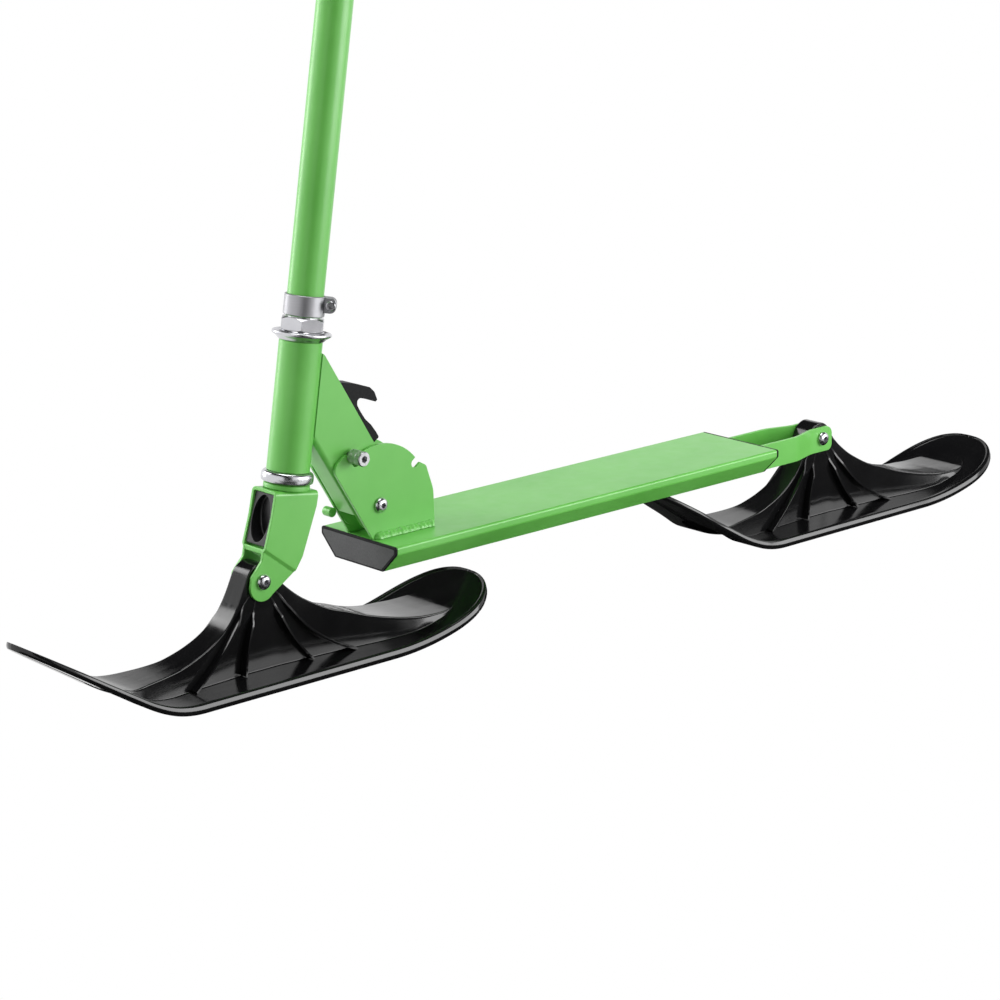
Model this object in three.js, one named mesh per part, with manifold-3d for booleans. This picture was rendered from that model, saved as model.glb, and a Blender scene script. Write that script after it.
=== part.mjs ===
import * as THREE from 'three';
import { mergeVertices } from 'three/addons/utils/BufferGeometryUtils.js';
import Module from 'manifold-3d';

// Snow scooter: a folding deck and stem on two pivoting skis.
// +X is forward, +Y is the rider's left, +Z is up, and z = 0 is the snow.
// Inside the file x = 0 is the front ski's pivot. The whole is then shifted to its middle.

const wasm = await Module();
wasm.setup();

// Driving dimensions, in millimetres and degrees
const wheelbase = 723.2;
const pivotHeight = 86.4;
const rakeAngle = 8.8;
const pivotTrail = 27.6;
const hingeBehind = 131.7;
const hingeHeight = 130.7;
const neckAngle = 32;
const foldAngle = 85.5;
const fit = 0.3;
const overrun = 5;
const lap = 1;

// Deck
const deckWidth = 101.4;
const deckTop = 100.4;
const deckDepth = 25.8;
const deckBottomWidth = 65;
const deckLip = 7.2;
const deckSheet = 2;
const deckFrontBehind = 120.2;
const deckRearGap = 105.5;
const capFlange = 2.3;
const capPlug = 12;

// Straps, plates and tubes
const plateSheet = 3;
const neckWidth = 28;
const neckFront = 24;
const neckBack = 27.5;
const plateGap = 0.3;
const headRadius = 19;
const headWall = 2;
const headBottom = 94.7;
const headTop = 208.5;
const steererRadius = 14;
const steererWall = 2;
const steererTop = 290;
const stemRadius = 16;
const stemBottom = 229.7;
const stemTop = 575;

// Bolts
const boltRadius = 4;
const boltHeadRadius = 7;
const boltHeadHeight = 4.4;
const boltSocket = 2.9;
const boltSocketDepth = 2.6;
const nutRadius = 7.5;
const nutHeight = 6.5;
const boltTail = 1;
const bushWall = 1.9;

// Skis
const skiNose = 252;
const skiTail = 252;
const skiWidth = 112;
const skiFloor = 7;
const skiRim = 2;
const skiWall = 3.5;
const soleFront = 96;
const soleRear = 115;
const noseRadius = 108;
const noseAngle = 32;
const tailRadius = 290;
const hubRadius = 15.6;
const hubWidth = 21.4;
const earGap = 0.5;

const degrees = Math.PI / 180;
const roundSteps = 24;

// Finishes
const finish = (color, roughness, metalness) => (
  new THREE.MeshStandardMaterial({ color, roughness, metalness })
);
const greenPaint = () => finish(0x6cc24a, 0.4, 0.1);
const blackPlastic = () => finish(0x111214, 0.3, 0);
const greyPlastic = () => finish(0x3c3c40, 0.6, 0);
const foam = () => finish(0x1a1a1a, 0.95, 0);
const chrome = () => finish(0xd8dade, 0.15, 1);
const steel = () => finish(0xa9abb0, 0.4, 1);
const aluminium = () => finish(0xc4c6ca, 0.35, 1);

// Solids
function toSolid(geometry) {
  const plain = geometry.clone();
  plain.deleteAttribute('normal');
  plain.deleteAttribute('uv');
  const merged = mergeVertices(plain, 1e-4);
  return new wasm.Manifold(new wasm.Mesh({
    numProp: 3,
    vertProperties: new Float32Array(merged.attributes.position.array),
    triVerts: new Uint32Array(merged.index.array),
  }));
}

function toGeometry(solid) {
  const mesh = solid.getMesh();
  const geometry = new THREE.BufferGeometry();
  geometry.setAttribute('position', new THREE.BufferAttribute(new Float32Array(mesh.vertProperties), 3));
  geometry.setIndex(new THREE.BufferAttribute(new Uint32Array(mesh.triVerts), 1));
  return geometry;
}

function join(...geometries) {
  return toGeometry(geometries.map(toSolid).reduce((whole, next) => whole.add(next)));
}

function cut(geometry, ...tools) {
  return toGeometry(tools.map(toSolid).reduce((whole, tool) => whole.subtract(tool), toSolid(geometry)));
}

function overlap(first, second) {
  return toGeometry(toSolid(first).intersect(toSolid(second)));
}

function shapeOf(points) {
  return new THREE.Shape(points.map(([x, y]) => new THREE.Vector2(x, y)));
}

// A side outline in x and z, given its width from y = low to y = high
function sidePlate(points, low, high) {
  const geometry = new THREE.ExtrudeGeometry(shapeOf(points), { depth: high - low, bevelEnabled: false });
  return geometry.rotateX(Math.PI / 2).translate(0, high, 0);
}

// A plan outline in x and y, given its height from z = low to z = high
function planPlate(points, low, high) {
  const geometry = new THREE.ExtrudeGeometry(shapeOf(points), { depth: high - low, bevelEnabled: false });
  return geometry.translate(0, 0, low);
}

// A cross section in y and z, drawn out from x = low to x = high
function lengthPlate(points, low, high) {
  const geometry = new THREE.ExtrudeGeometry(shapeOf(points), { depth: high - low, bevelEnabled: false });
  return geometry.rotateX(Math.PI / 2).rotateZ(Math.PI / 2).translate(low, 0, 0);
}

function block(x0, x1, y0, y1, z0, z1) {
  const geometry = new THREE.BoxGeometry(x1 - x0, y1 - y0, z1 - z0);
  return geometry.translate((x0 + x1) / 2, (y0 + y1) / 2, (z0 + z1) / 2);
}

// A round bar across the scooter, along y
function crossRod(radius, low, high, x = 0, z = 0, sides = roundSteps) {
  return new THREE.CylinderGeometry(radius, radius, high - low, sides).translate(x, (low + high) / 2, z);
}

// A turned piece about z from a closed profile of radius and height
function turned(profile, sides = roundSteps) {
  const points = [...profile, profile[0]].map(([r, z]) => new THREE.Vector2(r, z));
  return new THREE.LatheGeometry(points, sides).rotateX(Math.PI / 2);
}

// LatheGeometry turns (r, y) about y; after rotateX the profile's height runs along +z
function ring(inner, outer, low, high, sides = roundSteps) {
  return turned([[inner, low], [outer, low], [outer, high], [inner, high]], sides);
}

function disc(radius, low, high, sides = roundSteps) {
  return new THREE.CylinderGeometry(radius, radius, high - low, sides).rotateX(Math.PI / 2)
    .translate(0, 0, (low + high) / 2);
}

function arc(cx, cz, radius, from, to, steps) {
  return Array.from({ length: steps + 1 }, (_, i) => {
    const angle = (from + (to - from) * i / steps) * degrees;
    return [cx + radius * Math.cos(angle), cz + radius * Math.sin(angle)];
  });
}

function crossRing(inner, outer, low, high) {
  return ring(inner, outer, low, high).rotateX(-Math.PI / 2);
}

function mirrored(geometry) {
  const flipped = geometry.clone().scale(1, -1, 1).toNonIndexed();
  const position = flipped.attributes.position;
  for (let i = 0; i < position.count; i += 3) {
    const [x, y, z] = [position.getX(i), position.getY(i), position.getZ(i)];
    position.setXYZ(i, position.getX(i + 1), position.getY(i + 1), position.getZ(i + 1));
    position.setXYZ(i + 1, x, y, z);
  }
  return flipped;
}

function add(group, name, geometry, material) {
  const mesh = new THREE.Mesh(geometry, material);
  mesh.name = name;
  group.add(mesh);
  return mesh;
}

// Assembly frames
const rake = rakeAngle * degrees;
const lean = neckAngle * degrees;
const scooter = new THREE.Group();
scooter.position.x = wheelbase / 2 + (skiTail - skiNose) / 2;

const steering = new THREE.Group();
steering.rotation.y = -rake;
steering.position.set(-pivotTrail * Math.cos(rake), 0, pivotHeight - pivotTrail * Math.sin(rake));
scooter.add(steering);

const neckGroup = new THREE.Group();
neckGroup.rotation.y = lean;
neckGroup.position.set(-hingeBehind, 0, hingeHeight);
scooter.add(neckGroup);

steering.updateMatrix();
neckGroup.updateMatrix();
const steeringToNeck = neckGroup.matrix.clone().invert().multiply(steering.matrix);

// Bolt with a domed head and a hexagon socket, its head's seat at y = seat, its tip at y = tip
function axleBolt(seat, tip) {
  const domeShares = [[1, 0], [1, 0.35], [0.86, 0.72], [0.6, 0.93], [0.42, 1]];
  const dome = domeShares.map(([r, h]) => [boltHeadRadius * r, boltHeadHeight * h]);
  const head = turned([[0, 0], ...dome, [0, boltHeadHeight]]).rotateX(-Math.PI / 2).translate(0, seat, 0);
  const shank = crossRod(boltRadius, tip, seat + boltHeadHeight / 2);
  const top = seat + boltHeadHeight;
  const socket = crossRod(boltSocket, top - boltSocketDepth, top + overrun, 0, 0, 6);
  return cut(join(head, shank), socket);
}

function axleNut(low) {
  const hexagon = crossRod(nutRadius, low, low + nutHeight, 0, 0, 6);
  return cut(hexagon, crossRod(boltRadius + fit, low - overrun, low + nutHeight + overrun));
}

// Deck: a channel folded from sheet, open below
const deckFront = -deckFrontBehind - capFlange;
const deckRear = -wheelbase + deckRearGap + capFlange;
const halfDeck = deckWidth / 2;
const halfBottom = deckBottomWidth / 2;
const deckBottom = deckTop - deckDepth;
const slantRun = halfDeck - halfBottom;
const slantRise = deckDepth - deckLip;
const slantLength = Math.hypot(slantRun, slantRise);

function deckOutline(inset) {
  const slope = slantRise / slantRun;
  const innerBottomY = halfBottom - inset * slantRise / slantLength;
  const innerBottomZ = deckBottom + inset * slantRun / slantLength;
  const innerSide = halfDeck - inset;
  return {
    bottom: [innerBottomY, innerBottomZ],
    corner: [innerSide, innerBottomZ + (innerSide - innerBottomY) * slope],
    top: [innerSide, deckTop - inset],
  };
}

const mirrorPoint = ([y, z]) => [-y, z];
const outer = deckOutline(0);
const inner = deckOutline(deckSheet);
const channel = [outer.top, outer.corner, outer.bottom, inner.bottom, inner.corner, inner.top];
const channelSection = [...channel, ...channel.map(mirrorPoint).reverse()];
add(scooter, 'deck_plate', lengthPlate(channelSection, deckRear, deckFront), greenPaint());

const trapezoid = [outer.top, outer.corner, outer.bottom];
const capSection = [...trapezoid, ...trapezoid.map(mirrorPoint).reverse()];
const plug = deckOutline(deckSheet + fit);
const plugHalf = [plug.top, plug.corner, plug.bottom];
const plugSection = [...plugHalf, ...plugHalf.map(mirrorPoint).reverse()];
const frontCap = join(
  lengthPlate(capSection, deckFront + fit, deckFront + capFlange),
  lengthPlate(plugSection, deckFront - capPlug, deckFront + capFlange - fit),
);
add(scooter, 'deck_front_cap', frontCap, greyPlastic());

// Rear arms: straps that leave the deck's rear end and are set in to grip the rear ski's hub
const earInner = hubWidth / 2 + earGap;
const earOuter = earInner + plateSheet;
const arm = {
  inner: 21.4,
  set: 35,
  joggleAhead: 58.2,
  inDeck: 57,
  below: 16,
  above: 11.7,
  behind: 14.8,
  corner: 9,
};
const armTop = pivotHeight + arm.above;
const armBottom = pivotHeight - arm.below;
const armOuter = arm.inner + plateSheet;
const armPlan = [
  [deckRear + arm.inDeck, arm.inner],
  [-wheelbase + arm.joggleAhead, arm.inner],
  [-wheelbase + arm.joggleAhead - arm.set, earInner],
  [-wheelbase - arm.behind, earInner],
  [-wheelbase - arm.behind, earOuter],
  [-wheelbase + arm.joggleAhead - arm.set, earOuter],
  [-wheelbase + arm.joggleAhead, armOuter],
  [deckRear + arm.inDeck, armOuter],
];
const armSide = [
  [deckRear + arm.inDeck, armBottom],
  [deckRear + arm.inDeck, armTop],
  ...arc(-wheelbase - arm.behind + arm.corner, armTop - arm.corner, arm.corner, 90, 180, 5),
  ...arc(-wheelbase - arm.behind + arm.corner / 2, armBottom + arm.corner / 2, arm.corner / 2, 180, 270, 3),
];
const armStrap = cut(
  overlap(
    planPlate(armPlan, armBottom - overrun, armTop + overrun),
    sidePlate(armSide, 0, armOuter + overrun),
  ),
  crossRod(boltRadius + fit, 0, armOuter, -wheelbase, pivotHeight),
);
add(scooter, 'rear_arm_left', armStrap, greenPaint());
add(scooter, 'rear_arm_right', mirrored(armStrap), greenPaint());

const armSlot = side => {
  const middle = side * (arm.inner + plateSheet / 2);
  const half = plateSheet / 2 + fit;
  return block(deckRear - capFlange - overrun, deckRear + overrun, middle - half, middle + half,
    armBottom - overrun, armTop + fit);
};
const rearCap = cut(lengthPlate(capSection, deckRear - capFlange, deckRear - fit), armSlot(1), armSlot(-1));
add(scooter, 'deck_rear_cap', rearCap, blackPlastic());

const axleTip = -earOuter - nutHeight - boltTail;
const rearBolt = add(scooter, 'rear_axle_bolt', axleBolt(earOuter + fit, axleTip), chrome());
rearBolt.position.set(-wheelbase, 0, pivotHeight);
const rearNut = add(scooter, 'rear_axle_nut', axleNut(-earOuter - fit - nutHeight), chrome());
rearNut.position.copy(rearBolt.position);

// Hinge plates: the neck turns between them, and their notches take the lock pin
const lock = {
  pinRadius: 3.5,
  engaged: 51.5,
  lift: 7.8,
  rim: 55.4,
  notchDepth: 7.8,
  knobRadius: 6.7,
  knobLength: 16,
  knobSocket: 3.4,
  knobSocketDepth: 5,
};
const halfNeck = neckWidth / 2;
const plateInner = halfNeck + plateGap;
const plateOuter = plateInner + plateSheet;
const pinGap = lock.pinRadius + fit + 0.1;
const hinge = {
  front: 23.5,
  lobe: 65,
  lobeRound: 8,
  rearFoot: 64.4,
  rearShoulder: 63.3,
  rearShoulderRise: 3,
  lipHeight: 60.4,
  lipAngle: 154,
  weld: 3.6,
};

// A point of the hinge plate, given across and along a direction that starts at the hinge
function along(angle, across, out) {
  const a = angle * degrees;
  return [out * Math.cos(a) + across * Math.sin(a), out * Math.sin(a) - across * Math.cos(a)];
}

const pinAngle = 90 - neckAngle;
const foldedAngle = pinAngle + foldAngle;
const notchBottom = lock.rim - lock.notchDepth;
const shoulder = Math.asin(pinGap / lock.rim) / degrees;
const footDrop = deckTop + fit - hingeHeight;
const frontFootOut = (footDrop + hinge.front * Math.cos(pinAngle * degrees)) / Math.sin(pinAngle * degrees);
const hingePlateOutline = [
  [-hinge.rearFoot, footDrop],
  along(pinAngle, hinge.front, frontFootOut),
  along(pinAngle, hinge.front, hinge.lobe - hinge.lobeRound),
  along(pinAngle, hinge.front - hinge.lobeRound * 0.3, hinge.lobe - hinge.lobeRound * 0.3),
  along(pinAngle, hinge.front - hinge.lobeRound, hinge.lobe),
  along(pinAngle, pinGap + plateSheet, hinge.lobe),
  along(pinAngle, pinGap, hinge.lobe - plateSheet),
  along(pinAngle, pinGap, notchBottom + pinGap / 2),
  along(pinAngle, pinGap / 2, notchBottom),
  along(pinAngle, -pinGap / 2, notchBottom),
  along(pinAngle, -pinGap, notchBottom + pinGap / 2),
  along(pinAngle, -pinGap, lock.rim - plateSheet / 2),
  ...arc(0, 0, lock.rim, pinAngle + shoulder + 1.5, foldedAngle - shoulder - 1.5, 16),
  along(foldedAngle, pinGap, lock.rim - plateSheet / 2),
  along(foldedAngle, pinGap, notchBottom + pinGap / 2),
  along(foldedAngle, pinGap / 2, notchBottom),
  along(foldedAngle, -pinGap / 2, notchBottom),
  along(foldedAngle, -pinGap, notchBottom + pinGap / 2),
  along(foldedAngle, -pinGap - 0.2, lock.rim),
  along(hinge.lipAngle - 3, 0, hinge.lipHeight - 0.6),
  along(hinge.lipAngle, 0, hinge.lipHeight),
  along(hinge.lipAngle + 5, 0, hinge.lipHeight + 0.6),
  [-hinge.rearShoulder, hinge.rearShoulderRise],
];

function hingePlate() {
  const plate = sidePlate(hingePlateOutline, plateInner, plateOuter);
  const bead = lengthPlate([
    [plateOuter - plateSheet / 2, footDrop],
    [plateOuter + hinge.weld, footDrop],
    [plateOuter - plateSheet / 2, footDrop + hinge.weld + plateSheet],
  ], -hinge.rearFoot, along(pinAngle, hinge.front, frontFootOut)[0]);
  return cut(join(plate, bead), crossRod(boltRadius + fit, 0, plateOuter + overrun));
}

const hingePoint = new THREE.Vector3(-hingeBehind, 0, hingeHeight);
const leftPlate = hingePlate();
add(scooter, 'hinge_plate_left', leftPlate, greenPaint()).position.copy(hingePoint);
add(scooter, 'hinge_plate_right', mirrored(leftPlate), greenPaint()).position.copy(hingePoint);
const hingeBolt = axleBolt(plateOuter + fit, -plateOuter - nutHeight - boltTail);
add(scooter, 'hinge_bolt', hingeBolt, chrome()).position.copy(hingePoint);
add(scooter, 'hinge_nut', axleNut(-plateOuter - fit - nutHeight), chrome()).position.copy(hingePoint);

// Neck: a folded channel, open to the rear, from the hinge up to the head tube
const neckEar = { radius: 24, wallFoot: 8, top: 172, slotGap: 0.3 };
const bushOuter = boltRadius + fit + bushWall;
const axisAtZero = new THREE.Vector3(0, 0, 0).applyMatrix4(steeringToNeck);
const axisAtTop = new THREE.Vector3(0, 0, headTop).applyMatrix4(steeringToNeck);
const axisShare = (axisAtZero.x - neckFront) / (axisAtZero.x - axisAtTop.x);
const axisAtFront = axisAtZero.z + (axisAtTop.z - axisAtZero.z) * axisShare;
const backLow = new THREE.Vector3(-headRadius, 0, 0).applyMatrix4(steeringToNeck);
const backHigh = new THREE.Vector3(-headRadius, 0, headTop).applyMatrix4(steeringToNeck);
const backShare = (backLow.x + neckBack) / (backLow.x - backHigh.x);
const rearTop = backLow.z + (backHigh.z - backLow.z) * backShare + plateSheet;
const neckOutline = [
  [neckFront, axisAtFront],
  [axisAtTop.x, axisAtTop.z],
  [-neckBack, rearTop],
  [-neckBack, neckEar.radius / 2],
  ...arc(0, 0, neckEar.radius, 200, 360, 10),
];
const headCutter = disc(headRadius + fit, 0, headTop + headRadius).applyMatrix4(steeringToNeck);
const slotHalf = lock.pinRadius + neckEar.slotGap;
const slotTop = lock.engaged + lock.lift;
const neckBody = cut(
  sidePlate(neckOutline, -halfNeck, halfNeck),
  block(-neckBack - headRadius, neckFront - plateSheet, -halfNeck + plateSheet, halfNeck - plateSheet,
    -neckBack - overrun, neckEar.top + overrun),
  block(0, neckFront + overrun, -halfNeck + plateSheet, halfNeck - plateSheet, -neckFront - overrun,
    neckEar.wallFoot),
  headCutter,
  crossRod(bushOuter + fit, -halfNeck - overrun, halfNeck + overrun),
  crossRod(slotHalf, -halfNeck - overrun, halfNeck + overrun, 0, lock.engaged),
  crossRod(slotHalf, -halfNeck - overrun, halfNeck + overrun, 0, slotTop),
  block(-slotHalf, slotHalf, -halfNeck - overrun, halfNeck + overrun, lock.engaged, slotTop),
);
add(neckGroup, 'neck', neckBody, greenPaint());

const hingeBush = crossRing(boltRadius + fit, bushOuter, -halfNeck, halfNeck);
add(neckGroup, 'hinge_bush', hingeBush, steel());

// Lock pin, its knobs and the lever that draws it along the neck
const knobStart = plateOuter + fit;
const pinEnd = knobStart + lock.knobLength - lock.knobSocketDepth - fit;
const lockGroup = new THREE.Group();
lockGroup.position.z = slotTop;
neckGroup.add(lockGroup);
add(lockGroup, 'lock_pin', crossRod(lock.pinRadius, -pinEnd, pinEnd), steel());
const knob = cut(
  crossRod(lock.knobRadius, knobStart, knobStart + lock.knobLength),
  crossRod(lock.pinRadius + fit, 0, pinEnd + fit),
  crossRod(lock.knobSocket, pinEnd, knobStart + lock.knobLength + overrun, 0, 0, 6),
);
add(lockGroup, 'lock_knob_left', knob, steel());
add(lockGroup, 'lock_knob_right', mirrored(knob), steel());

const lever = { halfWidth: 7.5, boss: 15.5, bossTop: 6.5, bossBottom: 7.5 };
const leverOutline = [
  [lever.boss, -lever.bossBottom],
  [lever.boss, lever.bossTop],
  [lock.pinRadius, lever.bossTop],
  [-14, 16],
  [-18, 30],
  [-20, 52],
  [-24, 55.5],
  [-32, 56.2],
  [-42, 46.8],
  [-50.3, 36.4],
  [-54.6, 31.1],
  [-56.5, 24],
  [-55, 15.7],
  [-52.5, 15.7],
  [-46, 24.5],
  [-40.3, 30.8],
  [-36.9, 30.5],
  [-34.7, 27.1],
  [-34.5, 19.7],
  [-34.9, 10.4],
  [-37.3, 1.9],
  [-38.2, -7.7],
  [-38.2, -13.9],
  [-24, -13.9],
];
const leverBody = cut(
  sidePlate(leverOutline, -lever.halfWidth, lever.halfWidth),
  crossRod(lock.pinRadius + fit, -halfNeck, halfNeck),
);
add(lockGroup, 'release_lever', leverBody, blackPlastic());

// Lock spring: presses the lever's boss down from a seat inside the neck
const spring = { coil: 3.6, wire: 0.7, turns: 6, length: 19, across: 10.5, seat: 3 };
const springFoot = slotTop + lever.bossTop + fit + spring.wire;
class Coil extends THREE.Curve {
  getPoint(t, target = new THREE.Vector3()) {
    const angle = t * spring.turns * 2 * Math.PI;
    return target.set(
      spring.across + spring.coil * Math.cos(angle),
      spring.coil * Math.sin(angle),
      springFoot + (spring.length - 2 * spring.wire) * t,
    );
  }
}
const wireSection = shapeOf(arc(0, 0, spring.wire, 0, 288, 4));
const springSteps = spring.turns * 8;
const springBody = new THREE.ExtrudeGeometry(wireSection, { steps: springSteps, extrudePath: new Coil() });
add(neckGroup, 'lock_spring', springBody, steel());
const seatFoot = springFoot + spring.length - spring.wire + fit;
const springSeat = block(spring.across - spring.coil - 2 * spring.wire, neckFront - plateSheet - fit,
  -halfNeck + plateSheet + fit, halfNeck - plateSheet - fit, seatFoot, seatFoot + spring.seat);
add(neckGroup, 'spring_seat', springSeat, steel());

// Stop stud on the right hinge plate's front edge
const stud = { radius: 4.4, length: 10, out: 8.3 };
const studPlace = along(pinAngle, hinge.front + fit + stud.radius, stud.out);
add(scooter, 'hinge_stud', crossRod(stud.radius, -plateInner - stud.length, -plateInner,
  studPlace[0], studPlace[1], 16), greenPaint()).position.copy(hingePoint);

// Head tube and headset
const headInner = headRadius - headWall;
add(steering, 'head_tube', ring(headInner, headRadius, headBottom, headTop), greenPaint());

const cup = {
  skirt: 8,
  skirtWall: 1.6,
  lowerRadius: 23,
  lowerHeight: 9.4,
  upperRadius: 26,
  upperHeight: 7.6,
  rim: 1.6,
};
const skirtOuter = headInner - fit;
const skirtInner = skirtOuter - cup.skirtWall;
const lowerTop = headBottom - fit;
const lowerCup = turned([
  [skirtInner, headBottom + cup.skirt],
  [skirtInner, lowerTop - cup.rim],
  [cup.lowerRadius - cup.rim, lowerTop - cup.rim],
  [cup.lowerRadius - cup.rim, lowerTop - cup.lowerHeight],
  [cup.lowerRadius - cup.rim / 3, lowerTop - cup.lowerHeight],
  [cup.lowerRadius, lowerTop - cup.lowerHeight + cup.rim],
  [cup.lowerRadius, lowerTop - cup.rim],
  [cup.lowerRadius - cup.rim, lowerTop],
  [skirtOuter, lowerTop],
  [skirtOuter, headBottom + cup.skirt],
]);
add(steering, 'lower_headset_cup', lowerCup, chrome());

const upperBase = headTop + fit;
const upperCup = turned([
  [skirtInner, headTop - cup.skirt],
  [skirtOuter, headTop - cup.skirt],
  [skirtOuter, upperBase],
  [headRadius + cup.rim / 2, upperBase],
  [cup.upperRadius, upperBase + cup.upperHeight - 2 * cup.rim],
  [cup.upperRadius, upperBase + cup.upperHeight],
  [cup.upperRadius - cup.rim, upperBase + cup.upperHeight],
  [headRadius, upperBase + cup.rim],
  [skirtInner, upperBase + cup.rim],
]);
add(steering, 'upper_headset_cup', upperCup, chrome());

// Fork: a yoke folded from plate, its lower ears set in to grip the front ski's hub
const fork = {
  top: 79,
  halfWidth: 16.4,
  front: 23.7,
  back: 23.6,
  earRadius: 14,
  earAhead: -0.8,
  earBelow: 3.5,
  joggle: 3,
  bridgeHeight: 5,
  fold: [26.2, 55],
};
const forkInner = fork.halfWidth - plateSheet;
const earCentre = [pivotTrail + fork.earAhead, -fork.earBelow];
const bendRear = [-5.5, 6.5];
const bendFront = [30.5, 26];
const upperOutline = [
  bendRear,
  bendFront,
  fork.fold,
  [fork.front, fork.top],
  [-fork.back, fork.top],
  [-23, 66],
  [-18, 44],
  [-12.7, 21],
];
const earOutline = [
  ...arc(earCentre[0], earCentre[1], fork.earRadius, 225, 360, 9),
  [pivotTrail + 12.8, 4.4],
  [pivotTrail + 3.2, 18],
  [bendFront[0], bendFront[1] + fork.joggle],
  [bendRear[0], bendRear[1] + fork.joggle],
];
const joggleOutline = [
  bendRear,
  bendFront,
  [bendFront[0], bendFront[1] + fork.joggle],
  [bendRear[0], bendRear[1] + fork.joggle],
];
const forkSide = join(
  sidePlate(upperOutline, forkInner, fork.halfWidth),
  sidePlate(earOutline, earInner, earOuter),
  sidePlate(joggleOutline, earInner, fork.halfWidth),
);
const crown = block(-fork.back, fork.front, -fork.halfWidth, fork.halfWidth,
  fork.top - plateSheet, fork.top);
const bridge = block(bendFront[0] - plateSheet, bendFront[0] - fit, -earOuter, earOuter,
  bendFront[1] - fork.bridgeHeight / 2, bendFront[1] + fork.bridgeHeight / 2);
const forkBody = cut(
  join(crown, forkSide, mirrored(forkSide), bridge),
  crossRod(boltRadius + fit, -fork.halfWidth - overrun, fork.halfWidth + overrun, pivotTrail),
);
add(steering, 'fork', forkBody, greenPaint());

// Fork insert: fills the yoke's front, with a tall oval recess
const insert = {
  setBack: 1.2,
  depth: 13,
  bottom: 30,
  footFront: 29.9,
  footBack: 26,
  ovalWidth: 17.5,
  ovalHeight: 36,
  ovalFront: 26.8,
  ovalTilt: 4.5,
  recess: 9.5,
};
const insertTop = fork.top - plateSheet - fit;
const insertOutline = [
  [insert.footBack - insert.setBack - insert.depth, insert.bottom],
  [insert.footFront - insert.setBack, insert.bottom],
  [fork.fold[0] - insert.setBack, fork.fold[1]],
  [fork.front - insert.setBack, insertTop],
  [fork.front - insert.setBack - insert.depth, insertTop],
];
const ovalCutter = new THREE.CylinderGeometry(1, 1, 1, roundSteps).rotateZ(Math.PI / 2)
  .scale(insert.recess * 2, insert.ovalWidth / 2, insert.ovalHeight / 2)
  .rotateY(insert.ovalTilt * degrees)
  .translate(insert.ovalFront - insert.setBack, 0, (insert.bottom + insertTop) / 2 + lap);
const insertBody = cut(sidePlate(insertOutline, -forkInner + fit, forkInner - fit), ovalCutter);
add(steering, 'fork_insert', insertBody, blackPlastic());

const frontBolt = add(steering, 'front_axle_bolt', axleBolt(earOuter + fit, axleTip), chrome());
frontBolt.position.set(pivotTrail, 0, 0);
const frontNut = add(steering, 'front_axle_nut', axleNut(-earOuter - fit - nutHeight), chrome());
frontNut.position.copy(frontBolt.position);

// Steerer, races and bearings
const steererInner = steererRadius - steererWall;
add(steering, 'steerer_tube', ring(steererInner, steererRadius, fork.top + fit, steererTop), steel());
const race = { height: 5, radius: 20.4, bevel: 2 };
const raceLow = fork.top + fit;
add(steering, 'crown_race', turned([
  [steererRadius + fit, raceLow],
  [race.radius, raceLow],
  [race.radius, raceLow + race.height * 0.7],
  [race.radius - race.bevel, raceLow + race.height],
  [steererRadius + fit, raceLow + race.height],
]), greenPaint());

const ball = { radius: 1.9, count: 10, cage: 0.5, orbit: 17.6 };
function bearing(height) {
  const balls = Array.from({ length: ball.count }, (_, i) => {
    const angle = i / ball.count * 2 * Math.PI;
    return new THREE.IcosahedronGeometry(ball.radius, 0)
      .translate(ball.orbit * Math.cos(angle), ball.orbit * Math.sin(angle), height);
  });
  const cage = ring(ball.orbit - ball.cage, ball.orbit + ball.cage,
    height - ball.cage, height + ball.cage, 20);
  return join(cage, ...balls);
}
const lowerBallHeight = lowerTop - cup.rim - fit - ball.radius;
add(steering, 'lower_bearing', bearing(lowerBallHeight), steel());
const upperBallHeight = upperBase + cup.rim + fit + ball.radius;
add(steering, 'upper_bearing', bearing(upperBallHeight), steel());

const cone = { radius: 19.5, top: 217.2 };
const coneLow = upperBallHeight + ball.radius + fit;
add(steering, 'cone_nut', ring(steererRadius + fit, cone.radius, coneLow, cone.top), chrome());
const lockNut = { across: 18, low: 217.5, high: 228.6, turn: 17 };
const lockNutBody = cut(
  disc(lockNut.across / Math.cos(Math.PI / 6), lockNut.low, lockNut.high, 6)
    .rotateZ(lockNut.turn * degrees),
  disc(steererRadius + fit, lockNut.low - overrun, lockNut.high + overrun),
);
add(steering, 'lock_nut', lockNutBody, chrome());

// Lower steering tube and the collar that clamps it on the steerer
const stemInner = steererRadius + fit;
add(steering, 'steering_tube', ring(stemInner, stemRadius, stemBottom, stemTop), greenPaint());

// A split collar round the steering tube: ears at -x, a gap between them, a bolt hole along y
function splitCollar(size) {
  const mid = (size.low + size.earLift + size.high) / 2;
  const body = join(
    ring(stemRadius + fit, size.radius, size.low, size.high),
    block(-size.radius - size.ear, -stemRadius - fit - lap, -size.earHalf, size.earHalf,
      size.low + size.earLift, size.high),
  );
  return cut(body,
    disc(stemRadius + fit, size.low - overrun, size.high + overrun),
    block(-size.radius - size.ear - overrun, 0, -size.slit / 2, size.slit / 2,
      size.low - overrun, size.high + overrun),
    crossRod(size.bolt + fit, -size.earHalf - overrun, size.earHalf + overrun,
      -size.radius - size.ear / 2, mid),
  );
}

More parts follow.
